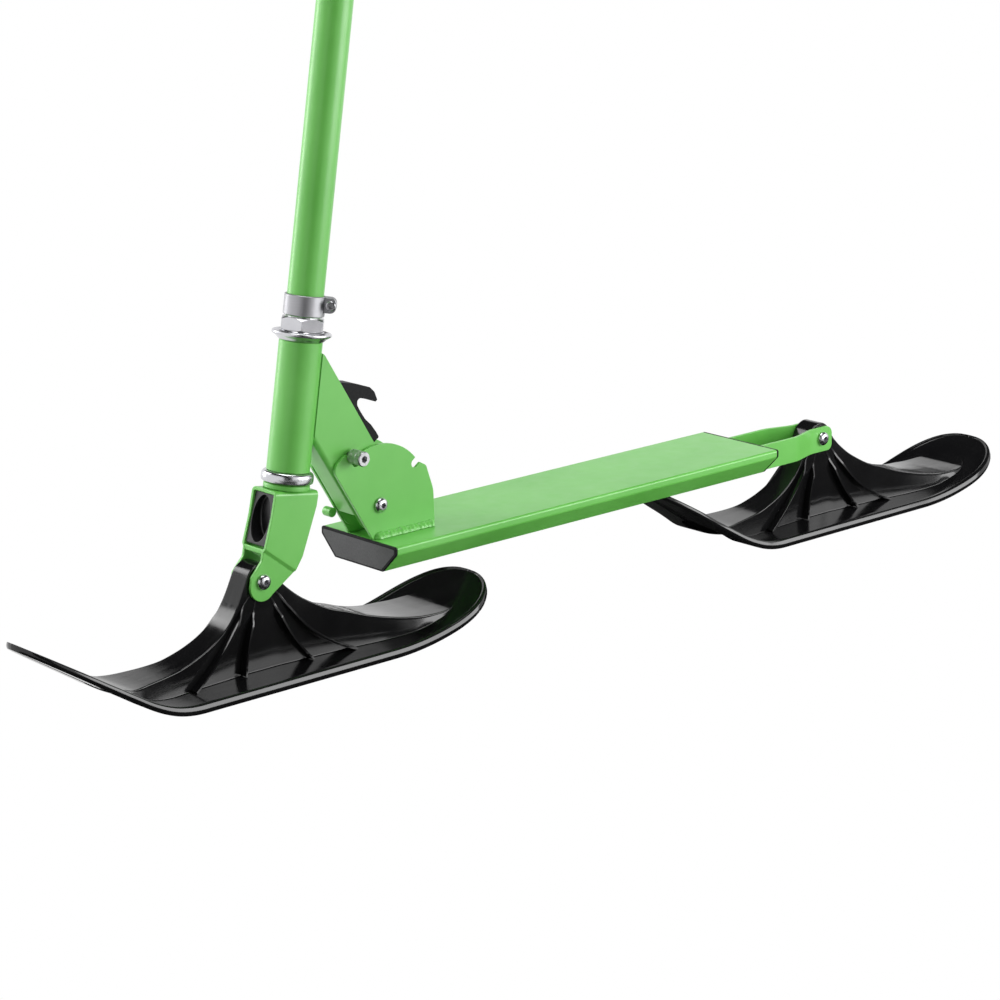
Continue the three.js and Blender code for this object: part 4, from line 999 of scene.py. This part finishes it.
# Hinge plates with their weld beads, and the small stop stud
hinge = {"front": 23.5, "lobe": 65, "rearFoot": 64.4, "rearShoulder": 63.3, "shoulderRise": 3,
         "lipHeight": 61, "lipAngle": 154, "inner": 14.3, "sheet": 3, "rim": 55.4, "notch": 7.8, "gap": 3.9,
         "foot": -30, "bore": 4.3, "footRounds": (0.4, 0.6), "lobeRounds": (9, 3), "notchRound": 3.8,
         "rimRound": 1.6, "lastRise": 1.2, "lipRound": 5, "shoulderRound": 30, "edgeGap": 1.5,
         "edge": (0.45, 3, 34), "wide": 300}
weld = {"size": 5.2, "endGap": 1.5, "pitch": 4.4, "sunk": 0.2, "back": 1.2, "endRound": 26, "squareness": 1.5,
        "lean": 0.1, "width": 0.9, "bow": 0.5, "lift": 0.05, "corners": 24, "steps": 220}
stud = {"radius": 4.4, "length": 10, "gap": 0.3, "up": 8.3, "steps": 48}


def alongRay(angle, across, out, radius=0):
    a = math.radians(angle)
    return (out * math.cos(a) + across * math.sin(a), out * math.sin(a) - across * math.cos(a), radius)


def squared(value):
    return math.copysign(abs(value) ** weld["squareness"], value)


def makeWeldBead(start, end):
    outer = hinge["inner"] + hinge["sheet"]
    foot = hinge["foot"] + weld["lift"]

    def layBead(u, v):
        # overlapping ripples, as a hand-run weld leaves them
        along = v * (end - start) / weld["pitch"]
        ripple = (1 + 0.04 * math.cos(2 * math.pi * along) + 0.06 * math.sin(along * 2.3)
                  + 0.04 * math.sin(along * 0.9 + 1))
        taper = min(1, math.sqrt(max(0.02, min(v, 1 - v) * weld["endRound"])))
        angle = 2 * math.pi * u
        radius = weld["size"] * ripple * taper * (1 + weld["lean"] * math.cos(2 * angle - math.pi / 2))
        y = outer - weld["sunk"] + max(-weld["back"], squared(math.cos(angle)) * radius * weld["width"])
        z = foot + max(0, squared(math.sin(angle)) * radius)
        return start + (end - start) * v + weld["bow"] * math.sin(angle) * (v - 0.5), y, z

    bead = laidGrid("weldBead", weld["corners"], weld["steps"], layBead)
    tidyMesh(bead)
    return bead


def makeHingePlates():
    pin = 90 - layout["neckAngle"]
    folded = pin + layout["foldAngle"]
    gap, rim, bottom = hinge["gap"], hinge["rim"], hinge["rim"] - hinge["notch"]
    edge = math.degrees(math.asin(gap / rim)) + hinge["edgeGap"]
    tilt = math.radians(pin)
    footOut = (hinge["foot"] + hinge["front"] * math.cos(tilt)) / math.sin(tilt)
    corners = [
        (-hinge["rearFoot"], hinge["foot"], hinge["footRounds"][0]),
        alongRay(pin, hinge["front"], footOut, hinge["footRounds"][1]),
        alongRay(pin, hinge["front"], hinge["lobe"], hinge["lobeRounds"][0]),
        alongRay(pin, gap, hinge["lobe"], hinge["lobeRounds"][1]),
        alongRay(pin, gap, bottom, hinge["notchRound"]),
        alongRay(pin, -gap, bottom, hinge["notchRound"]),
        alongRay(pin, -gap, rim, hinge["rimRound"]),
        *arcPoints(0, 0, rim, pin + edge, folded - edge, 40),
        alongRay(folded, gap, rim, hinge["rimRound"]),
        alongRay(folded, gap, bottom, hinge["notchRound"]),
        alongRay(folded, -gap, bottom, hinge["notchRound"]),
        alongRay(folded, -gap, rim + hinge["lastRise"], hinge["lastRise"]),
        alongRay(hinge["lipAngle"], 0, hinge["lipHeight"], hinge["lipRound"]),
        (-hinge["rearShoulder"], hinge["shoulderRise"], hinge["shoulderRound"]),
    ]
    plate = drawnOut("hingePlateLeft", roundCorners(corners, 8), "side", hinge["inner"],
                     hinge["inner"] + hinge["sheet"])
    boreThrough(plate, "side", 0, 0, hinge["bore"])
    softenEdges(plate, *hinge["edge"])
    frontFoot = alongRay(pin, hinge["front"], footOut)[0]
    joinPieces(plate, makeWeldBead(-hinge["rearFoot"] + weld["endGap"], frontFoot - weld["endGap"]))
    other = mirroredCopy(plate, "hingePlateRight")
    wide = hinge["wide"]
    finishPiece(plate, hingePlace, "hinge_plate_left", "chassis", "green_paint", wide=wide)
    finishPiece(other, hingePlace, "hinge_plate_right", "chassis", "green_paint", wide=wide)
    # it stands beside the right plate's front edge
    x, z, _ = alongRay(pin, hinge["front"] + stud["gap"] + stud["radius"], stud["up"])
    end = [(0.8, 0), (0.2, 0.25), (0, 0.9)]
    length = stud["length"]
    profile = [(stud["radius"] - inwards, rise) for inwards, rise in end]
    profile += [(radius, length - rise) for radius, rise in reversed(profile)]
    peg = turnedPiece("hingeStud", [(0, 0), *profile, (0, length)], stud["steps"])
    standAt(peg, shiftBy(x, -hinge["inner"], z) @ towardsRight)
    finishPiece(peg, hingePlace, "hinge_stud", "chassis", "green_paint")


# Neck, folded from sheet, with its lock slot
neck = {"half": 14, "front": 24, "back": 27.5, "sheet": 3, "ear": 24, "wallFoot": 8, "slotLow": 51.5,
        "slotHalf": 3.8, "bore": 6.5, "cavityTop": 177, "fold": 4.5, "innerFold": 2, "headTop": 208.5,
        "headRadius": 19, "headCut": 18.5, "seamRadius": 20.1, "seamDepth": 13.1,
         "edge": (0.4, 2, 40), "wide": 400}
# how far the cutters of the neck reach
neckReach = {"back": -80, "front": 60, "low": -60, "high": 260}


def makeNeck():
    steeringInNeck = neckPlace.inverted() @ steeringPlace
    half, front, back, sheet = neck["half"], neck["front"], neck["back"], neck["sheet"]
    low, high, far = neckReach["low"], neckReach["high"], neckReach["back"]

    def inNeck(x, z):
        point = steeringInNeck @ (Vector((x, 0, z)) * mm)
        return point.x / mm, point.z / mm

    zero, top = inNeck(0, 0), inNeck(0, neck["headTop"])
    share = (zero[0] - front) / (zero[0] - top[0])
    frontTop = zero[1] + (top[1] - zero[1]) * share
    backLow, backHigh = inNeck(-neck["headRadius"], 0), inNeck(-neck["headRadius"], neck["headTop"])
    backShare = (backLow[0] + back) / (backLow[0] - backHigh[0])
    rearTop = backLow[1] + (backHigh[1] - backLow[1]) * backShare + sheet
    outline = [(front, frontTop), top, (-back, rearTop), (-back, neck["ear"] / 2),
               *arcPoints(0, 0, neck["ear"], 200, 360, 30)]
    folded = [(far, half), (front, half, neck["fold"]), (front, -half, neck["fold"]), (far, -half)]
    body = drawnOut("neckBody", roundCorners(folded, 8), "plan", low, high)
    carve(body, drawnOut("neckSides", outline, "side", -through, through), "INTERSECT")
    wall, inside, corner = half - sheet, front - sheet, neck["innerFold"]
    cavity = roundCorners([(far, wall), (inside, wall, corner), (inside, -wall, corner), (far, -wall)], 5)
    carve(body, drawnOut("neckCavity", cavity, "plan", low, neck["cavityTop"]))
    foot = [(0, -wall), (neckReach["front"], -wall), (neckReach["front"], wall), (0, wall)]
    carve(body, drawnOut("neckFoot", foot, "plan", low, neck["wallFoot"]))
    headCut = rod("headCut", neck["headCut"], low, high)
    standAt(headCut, steeringInNeck)
    carve(body, headCut)
    for near, outside in ((neck["seamDepth"], through), (-through, -neck["seamDepth"])):
        seam = rod("headSeam", neck["seamRadius"], low, high)
        standAt(seam, steeringInNeck)
        side = [(far, near), (neckReach["front"], near), (neckReach["front"], outside), (far, outside)]
        carve(seam, drawnOut("seamSide", side, "plan", low, high), "INTERSECT")
        carve(body, seam)
    boreThrough(body, "side", 0, 0, neck["bore"])
    slot = [*arcPoints(0, layout["lockHeight"], neck["slotHalf"], 0, 180, 16),
            *arcPoints(0, neck["slotLow"], neck["slotHalf"], 180, 360, 16)]
    carve(body, drawnOut("neckSlot", slot, "side", -through, through))
    softenEdges(body, *neck["edge"])
    finishPiece(body, neckPlace, "neck", "stem", "green_paint", wide=neck["wide"])


# Lock pin, knurled knobs, spring and release lever
lock = {"pin": 3.5, "pinEnd": 28.3, "pinChamfer": 0.5, "bore": 3.8, "boreEnd": 28.6, "steps": 48}
knob = {"radius": 6.7, "start": 17.6, "length": 16, "socket": 3.4, "socketFoot": 28.2, "rows": 34,
        "twist": 0.55, "knurl": 0.3, "plainEnd": 1.2, "blend": 0.5, "chamfer": 0.8, "chamferSlope": 0.9,
        "corners": 204, "rings": 56}
spring = {"coil": 3.6, "wire": 0.7, "turns": 6, "across": 10.5, "foot": 67.1, "length": 19, "corners": 12,
          "steps": 240}
lever = {
    "half": 7.5, "edge": (1.1, 4, 40),
    "outline": [
        (15.5, -7.5, 2), (15.5, 6.5, 2), (3.5, 6.5, 3), (-14, 16, 6), (-18, 30, 12), (-20, 52, 2),
        (-24, 55.5, 4), (-32, 56.2, 4), (-42, 46.8, 9), (-50.3, 36.4, 9), (-54.6, 31.1, 5), (-56.5, 24, 6),
        (-55, 15.7, 0.8), (-52.5, 15.7, 0.8), (-46, 24.5, 8), (-40.3, 30.8, 4), (-36.9, 30.5, 3),
        (-34.7, 27.1, 4), (-34.5, 19.7, 20), (-34.9, 10.4, 20), (-37.3, 1.9, 20), (-38.2, -7.7, 10),
        (-38.2, -13.9, 1.5), (-24, -13.9, 4)],
}


def makeKnobs():
    length = knob["length"]

    def layKnob(u, v):
        angle, out = 2 * math.pi * u, v * length
        smoothEnd = min(1, max(0, (min(out, length - out) - knob["plainEnd"]) / knob["blend"]))
        a = (u * knob["rows"] + out * knob["twist"]) % 1
        b = (u * knob["rows"] - out * knob["twist"]) % 1
        knurl = knob["knurl"] * max(1 - abs(a - 0.5) * 4, 1 - abs(b - 0.5) * 4, 0) * smoothEnd
        chamfer = max(0, knob["chamfer"] - min(out, length - out)) * knob["chamferSlope"]
        radius = knob["radius"] - knurl - chamfer
        return radius * math.cos(angle), knob["start"] + out, radius * math.sin(angle)

    piece = laidGrid("lockKnobLeft", knob["corners"], knob["rings"], layKnob)
    bore = rod("knobBore", lock["bore"], -through, 0, lock["steps"])
    standAt(bore, shiftBy(0, lock["boreEnd"], 0) @ towardsLeft)
    carve(piece, bore)
    hexagon = circleAt(0, 0, knob["socket"], 6)
    carve(piece, drawnOut("knobSocket", hexagon, "side", knob["socketFoot"], through))
    other = mirroredCopy(piece, "lockKnobRight")
    finishPiece(piece, lockPlace, "lock_knob_left", "lock", "plain_steel", flatten=False)
    finishPiece(other, lockPlace, "lock_knob_right", "lock", "plain_steel", flatten=False)


def makeLock():
    pin = rod("lockPin", lock["pin"], -lock["pinEnd"], lock["pinEnd"], lock["steps"], lock["pinChamfer"])
    standAt(pin, towardsRight)
    finishPiece(pin, lockPlace, "lock_pin", "lock", "plain_steel")
    makeKnobs()
    hook = drawnOut("releaseLever", roundCorners(lever["outline"], 6), "side", -lever["half"], lever["half"])
    boreThrough(hook, "side", 0, 0, lock["bore"])
    softenEdges(hook, *lever["edge"])
    finishPiece(hook, lockPlace, "release_lever", "lock", "black_trim")

    def layWire(u, v):
        angle, turn = 2 * math.pi * u, 2 * math.pi * spring["turns"] * v
        out = spring["coil"] + spring["wire"] * math.cos(angle)
        rise = spring["foot"] + (spring["length"] - 2 * spring["wire"]) * v + spring["wire"] * math.sin(angle)
        return spring["across"] + out * math.cos(turn), out * math.sin(turn), rise

    coil = laidGrid("lockSpring", spring["corners"], spring["steps"], layWire)
    finishPiece(coil, neckPlace, "lock_spring", "stem", "plain_steel", 50, False)


# Head tube, headset and steering tube; the headset's rings are turned to these outlines
headTube = {"inner": 17, "outer": 19, "low": 94.7, "high": 208.5, "chamfer": 0.4}
steeringTube = {"inner": 14.3, "outer": 16, "low": 229.7, "high": 575, "chamfer": 0.4}
headset = [
    {"name": "crownRace", "node": "crown_race", "body": "steering", "slot": "green_paint", "steps": 96,
     "profile": [(14.3, 79.3), (19.9, 79.3), (20.4, 79.7), (20.4, 82.6), (20.1, 83.3), (19.3, 84.0),
                 (18.4, 84.3), (14.3, 84.3)]},
    {"name": "lowerCup", "node": "lower_headset_cup", "body": "stem", "slot": "bright_chrome", "steps": 128,
     "angle": 35, "profile": [
         (15.1, 102.7), (15.1, 92.8), (21.2, 92.8), (21.35, 92.2), (21.4, 85.0), (21.9, 85.0), (22.5, 85.4),
         (22.8, 86.2), (22.95, 87.4), (23, 88.8), (22.95, 90.4), (22.75, 91.9), (22.3, 93.0), (21.6, 93.8),
         (20.8, 94.25), (19.8, 94.4), (16.7, 94.4), (16.7, 102.7)]},
    {"name": "upperCup", "node": "upper_headset_cup", "body": "stem", "slot": "bright_chrome", "steps": 128,
     "angle": 35, "profile": [
         (15.1, 200.5), (16.7, 200.5), (16.7, 208.8), (19.3, 208.8), (19.8, 208.9), (20.3, 209.3),
         (21.2, 210.2), (22.4, 211.4), (23.7, 212.4), (25.0, 213.15), (25.7, 213.7), (26, 214.4),
         (26, 215.3), (25.8, 216.0), (25.3, 216.4), (24.6, 216.4), (24.1, 216.0), (23.3, 214.6),
         (21.5, 212.2), (20.0, 210.9), (19, 210.4), (15.1, 210.4)]},
    {"name": "coneNut", "node": "cone_nut", "body": "steering", "slot": "bright_chrome", "steps": 96,
     "profile": [(14.3, 214.5), (18.9, 214.5), (19.5, 215.0), (19.5, 216.7), (19.0, 217.2), (14.3, 217.2)]},
]
lockNut = {"corner": 20.78, "turn": -13, "low": 217.5, "high": 228.6, "bore": 14.3, "edge": (0.3, 2, 25),
           "angle": 25,
           "barrel": [(0, 217.4), (18.6, 217.4), (20.9, 218.8), (20.9, 226.4), (18.2, 228.7), (0, 228.7)]}


def makeHeadset():
    finishPiece(pipe("headTube", headTube), steeringPlace, "head_tube", "stem", "green_paint")
    for ring in headset:
        piece = turnedPiece(ring["name"], ring["profile"], ring["steps"])
        finishPiece(piece, steeringPlace, ring["node"], ring["body"], ring["slot"], ring.get("angle", 30),
                    "angle" not in ring)
    corners = circleAt(0, 0, lockNut["corner"], 6, lockNut["turn"])
    hexagon = drawnOut("lockNut", corners, "plan", lockNut["low"], lockNut["high"])
    carve(hexagon, turnedPiece("nutRound", lockNut["barrel"]), "INTERSECT")
    carve(hexagon, rod("nutHole", lockNut["bore"], lockNut["low"] - through, lockNut["high"] + through))
    softenEdges(hexagon, *lockNut["edge"])
    finishPiece(hexagon, steeringPlace, "lock_nut", "steering", "bright_chrome", lockNut["angle"])
    finishPiece(pipe("steeringTube", steeringTube), steeringPlace, "steering_tube", "steering", "green_paint")


# Split collars round the steering tube, and their bolts
collar = {"radius": 18, "ear": 9.5, "half": 6.5, "lift": 4, "slit": 2, "low": 230.5, "high": 248.3,
          "bore": 2.8}
topClamp = {"radius": 20, "ear": 14, "half": 9, "lift": 0, "slit": 2.4, "low": 549, "high": 577, "bore": 3.3}
collarForm = {"inner": 16.3, "earStart": 16.9, "earDrop": 0.2, "earRound": 6, "roundGap": 0.6, "chamfer": 0.5,
              "edge": (0.6, 3, 50)}
pinch = {"x": -22.75, "z": 241.4, "socket": 2.3, "socketFoot": 9,
         "profile": [(0, -6.5), (2.1, -6.5), (2.5, -6.1), (2.5, 6.8), (3.9, 6.8), (4.2, 7.1), (4.2, 11.3),
                     (3.9, 11.7), (3.5, 11.8), (0, 11.8)]}
clampNut = [(3.3, -14.3), (5.7, -14.3), (6.3, -13.7), (6.5, -12.8), (6.5, -9.7), (6.1, -9.3), (3.3, -9.3)]


def makeCollar(name, size, place, node):
    form = collarForm
    low, high, radius, slit = size["low"], size["high"], size["radius"], size["slit"] / 2
    chamfer, inner = form["chamfer"], form["inner"]
    ring = turnedPiece(name, [(inner, low), (radius - chamfer, low), (radius, low + chamfer),
                              (radius, high - chamfer), (radius - chamfer, high), (inner, high)], 128)
    back, start = -radius - size["ear"], -form["earStart"]
    foot, head = low + size["lift"], high - form["earDrop"]
    endRound = min(form["earRound"], (high - foot) / 2 - form["roundGap"])
    outline = roundCorners([(start, foot), (start, head), (back, head, endRound), (back, foot, endRound)], 8)
    ear = drawnOut("collarEar", outline, "side", -size["half"], size["half"])
    softenEdges(ear, *form["edge"])
    carve(ring, ear, "UNION")
    carve(ring, rod("collarBore", inner, low - through, high + through, 128))
    gap = [(back - through, -slit), (0, -slit), (0, slit), (back - through, slit)]
    carve(ring, drawnOut("collarSlit", gap, "plan", low - through, high + through))
    boreThrough(ring, "side", -radius - size["ear"] / 2, (foot + high) / 2, size["bore"])
    tidyMesh(ring)
    finishPiece(ring, place, node, "steering", "bare_aluminium")


def makeCollars():
    makeCollar("clampCollar", collar, collarPlace, "clamp_collar")
    makeCollar("topClamp", topClamp, steeringPlace, "top_clamp")
    screw = turnedPiece("pinchBolt", pinch["profile"], 48)
    hexagon = circleAt(0, 0, pinch["socket"], 6)
    carve(screw, drawnOut("pinchSocket", hexagon, "plan", pinch["socketFoot"], through))
    standAt(screw, shiftBy(pinch["x"], 0, pinch["z"]) @ towardsLeft)
    finishPiece(screw, collarPlace, "collar_bolt", "steering", "plain_steel", material=chrome)
    thumbNut = turnedPiece("clampNut", clampNut, 64)
    standAt(thumbNut, shiftBy(quick["x"], 0, quick["z"]) @ towardsLeft)
    finishPiece(thumbNut, steeringPlace, "clamp_nut", "steering", "plain_steel")


# Quick lever of the top clamp
quick = {"x": -27, "z": 563, "seat": 9.3, "cam": 6.5, "half": 6.5, "shank": 3.3, "pin": 2.8, "swing": 120,
         "inset": 5, "edge": (1.1, 4, 40),
         "blade": [(8.5, 2, 3), (41, 5, 12), (46, 8, 2.2), (43.5, 10, 2.2)],
         "innerRound": 3, "outerRound": 14}


def makeQuickLever():
    cam, camY = quick["cam"], quick["seat"] + quick["cam"]
    out = camY + cam - quick["inset"]
    outline = [*arcPoints(0, camY, cam, 100, 270, 24), (cam, camY, quick["innerRound"]),
               *[(x, out + y, radius) for x, y, radius in quick["blade"]],
               (cam, camY + cam, quick["outerRound"])]
    body = drawnOut("clampLever", roundCorners(outline, 6), "plan", -quick["half"], quick["half"])
    softenEdges(body, *quick["edge"])
    boreThrough(body, "plan", 0, camY, quick["pin"])
    # room for the bolt's shank over the whole swing
    end = math.radians(270 - quick["swing"])
    half, far = quick["shank"], 2 * cam
    sideX, sideY = half * math.sin(end), camY - half * math.cos(end)
    swing = [(half, camY - far), (half, camY), (sideX, sideY),
             (sideX + far * math.cos(end), sideY + far * math.sin(end)), (-far, camY), (-far, camY - far)]
    carve(body, drawnOut("leverSwing", swing, "plan", -half, half))
    finishPiece(body, steeringPlace @ shiftBy(quick["x"], 0, quick["z"]), "clamp_lever", "quick_lever",
                "black_trim")


# Fork, folded from plate with its lower ears set in, and its insert
fork = {"half": 16.4, "top": 79, "sheet": 3, "setIn": 2.2, "bendRear": (-5.5, 6.5), "bendFront": (30.5, 26),
        "bore": 4.3, "fold": 4, "innerFold": 1.2, "foot": -30, "reach": (-40, 60), "crownHole": 12,
        "ear": (26.8, -3.5, 14), "edge": (0.55, 3, 40), "wide": 200,
        "front": [(40.4, 4.4, 6), (30.8, 18, 6), (30.5, 26, 5), (26.2, 55, 60), (23.7, 90)],
        "rear": [(-23.6, 90), (-23.6, 79), (-23, 66, 20), (-18, 44, 40), (-12.7, 21, 12), (-5.5, 6.5, 8)],
        "bands": (-3.4, -2.8, -2.2, -1.6, -1.0, -0.4, 0.2), "bandWidth": 3.6}
bridge = {"back": 27.5, "front": 30.2, "low": 23.6, "high": 28.4, "half": 13.6, "round": 1.2}
insert = {"half": 13.1, "bottom": 30, "top": 75.7, "ovalWidth": 22.6, "ovalHeight": 40.5, "ovalUp": 0.1,
          "ovalFront": 25.6, "lean": 4.5, "edge": (0.5, 3, 38),
          "oval": [(0, -9.5), (0.9, -9.5), (0.97, -9), (1, -8), (1, 20), (0, 20)],
          "outline": [(11.8, 30, 1), (28.7, 30, 1), (25, 55, 60), (22.5, 75.7, 1), (9.5, 75.7, 1)]}


def setInEars(yoke):
    rear, front = Vector(fork["bendRear"]), Vector(fork["bendFront"])
    line = (front - rear).normalized()
    normal = Vector((line.y, -line.x))
    bandCuts(yoke, (rear.x, 0, rear.y), (normal.x, 0, normal.y), fork["bands"])
    for vertex in yoke.data.vertices:
        x, z = vertex.co.x / mm, vertex.co.z / mm
        beyond = (Vector((x, z)) - rear).dot(normal)
        share = smoothShare((beyond - fork["bands"][0]) / fork["bandWidth"])
        vertex.co.y -= math.copysign(fork["setIn"] * share, vertex.co.y) * mm
    tidyMesh(yoke)


def makeFork():
    half, top, foot = fork["half"], fork["top"], fork["foot"]
    inner, under = half - fork["sheet"], top - fork["sheet"]
    outside = [(half, foot), (half, top, fork["fold"]), (-half, top, fork["fold"]), (-half, foot)]
    inside = [(-inner, foot), (-inner, under, fork["innerFold"]),
              (inner, under, fork["innerFold"]), (inner, foot)]
    yoke = drawnOut("forkYoke", roundCorners(outside + inside, 8), "end", *fork["reach"])
    outline = [*arcPoints(*fork["ear"], 215, 360, 30), *fork["front"], *fork["rear"]]
    carve(yoke, drawnOut("forkOutline", roundCorners(outline, 6), "side", -through, through), "INTERSECT")
    boreThrough(yoke, "side", layout["pivotTrail"], 0, fork["bore"])
    carve(yoke, rod("crownHole", fork["crownHole"], under - fork["innerFold"], top + through, 64))
    softenEdges(yoke, *fork["edge"])
    setInEars(yoke)
    corners = [(bridge[x], bridge[z], bridge["round"]) for x, z in
               (("back", "low"), ("front", "low"), ("front", "high"), ("back", "high"))]
    crossing = drawnOut("forkBridge", roundCorners(corners, 4), "side", -bridge["half"], bridge["half"])
    joinPieces(yoke, crossing)
    finishPiece(yoke, steeringPlace, "fork", "steering", "green_paint", wide=fork["wide"])


def makeInsert():
    block = roundCorners(insert["outline"], 6)
    filling = drawnOut("forkInsert", block, "side", -insert["half"], insert["half"])
    middle = (insert["bottom"] + insert["top"]) / 2 + insert["ovalUp"]
    oval = turnedPiece("ovalCutter", insert["oval"])
    scaledBy(oval, insert["ovalHeight"] / 2, insert["ovalWidth"] / 2, 1)
    standAt(oval, shiftBy(insert["ovalFront"], 0, middle) @ turnAbout("Y", 90 + insert["lean"]))
    carve(filling, oval)
    softenEdges(filling, *insert["edge"])
    finishPiece(filling, steeringPlace, "fork_insert", "steering", "black_trim", material=insertTrim)


# Handlebar: height tube, cross tube, grips and end plugs
bar = {"height": 788, "radius": 11.1, "inner": 9.5, "half": 172, "seat": 11.4}
riser = {"inner": 12.2, "outer": 14, "low": 425, "chamfer": 0.4}
grip = {"ribs": 21, "first": 66, "pitch": 4.6, "angle": 40,
        "rib": [(15.35, 0), (15.35, 0.8), (16.0, 1.5), (16.0, 3.8)],
        "start": [(11.4, 60.2), (14.6, 60.0), (15.6, 60.6), (16, 61.8)],
        "end": [(16, 167.2), (17.2, 167.7), (18, 168.8), (18, 171.0), (17.4, 172), (11.4, 172)]}
plug = [(0, 167), (8.6, 167), (9.2, 167.6), (9.2, 172.3), (12.6, 172.3), (13.1, 172.8), (12.9, 173.6),
        (11.4, 174.5), (9, 174.8), (0, 174.8)]


def makeHandlebar():
    top = bar["height"]
    place = steeringPlace @ shiftBy(0, 0, top)
    inner, outer, low, chamfer = riser["inner"], riser["outer"], riser["low"], riser["chamfer"]
    tube = turnedPiece("heightTube", [(inner, low + chamfer), (inner + chamfer, low), (outer - chamfer, low),
                                      (outer, low + chamfer), (outer, top), (inner, top)], 128)
    seat = rod("barSeat", bar["seat"], -through, through)
    standAt(seat, shiftBy(0, 0, top) @ towardsRight)
    carve(tube, seat)
    finishPiece(tube, steeringPlace, "height_tube", "handlebar_unit", "bare_aluminium")
    radius, inner, half = bar["radius"], bar["inner"], bar["half"]
    cross = turnedPiece("handlebarTube", [(inner, -half), (radius, -half), (radius, half), (inner, half)])
    finishPiece(cross, place @ towardsRight, "handlebar", "handlebar_unit", "bare_aluminium",
                material=barAluminium)

    ribs = [(r, grip["first"] + k * grip["pitch"] + z) for k in range(grip["ribs"]) for r, z in grip["rib"]]
    sleeve = turnedPiece("gripLeft", [*grip["start"], *ribs, *grip["end"]])
    standAt(sleeve, towardsLeft)
    sleeves = {"grip_left": sleeve, "grip_right": mirroredCopy(sleeve, "gripRight")}
    for node, piece in sleeves.items():
        finishPiece(piece, place, node, "handlebar_unit", "grip_foam", grip["angle"], False)
    stopper = turnedPiece("barPlugLeft", plug, 72)
    standAt(stopper, towardsLeft)
    stoppers = {"bar_plug_left": stopper, "bar_plug_right": mirroredCopy(stopper, "barPlugRight")}
    for node, piece in stoppers.items():
        finishPiece(piece, place, node, "handlebar_unit", "black_trim")


makeSkis()
print("skis made")
makeDeck()
makeCaps()
makeArms()
for axle in axles:
    makeAxle(axle)
print("deck, arms and bolts made")
makeHingePlates()
makeNeck()
makeLock()
print("hinge, neck and lock made")
makeHeadset()
makeCollars()
makeQuickLever()
makeFork()
makeInsert()
makeHandlebar()
print("fork, headset, clamps and handlebar made")

# pieces that keep the frame's own shape get their metal
kept = {
    "hinge_bush": steel, "front_ski_bush": steel, "rear_ski_bush": steel, "steerer_tube": steel,
    "lower_bearing": chrome, "upper_bearing": chrome, "spring_seat": steel, "clamp_bolt": steel,
}
for name, metal in kept.items():
    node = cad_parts[name]
    node.data.materials.clear()
    node.data.materials.append(metal)
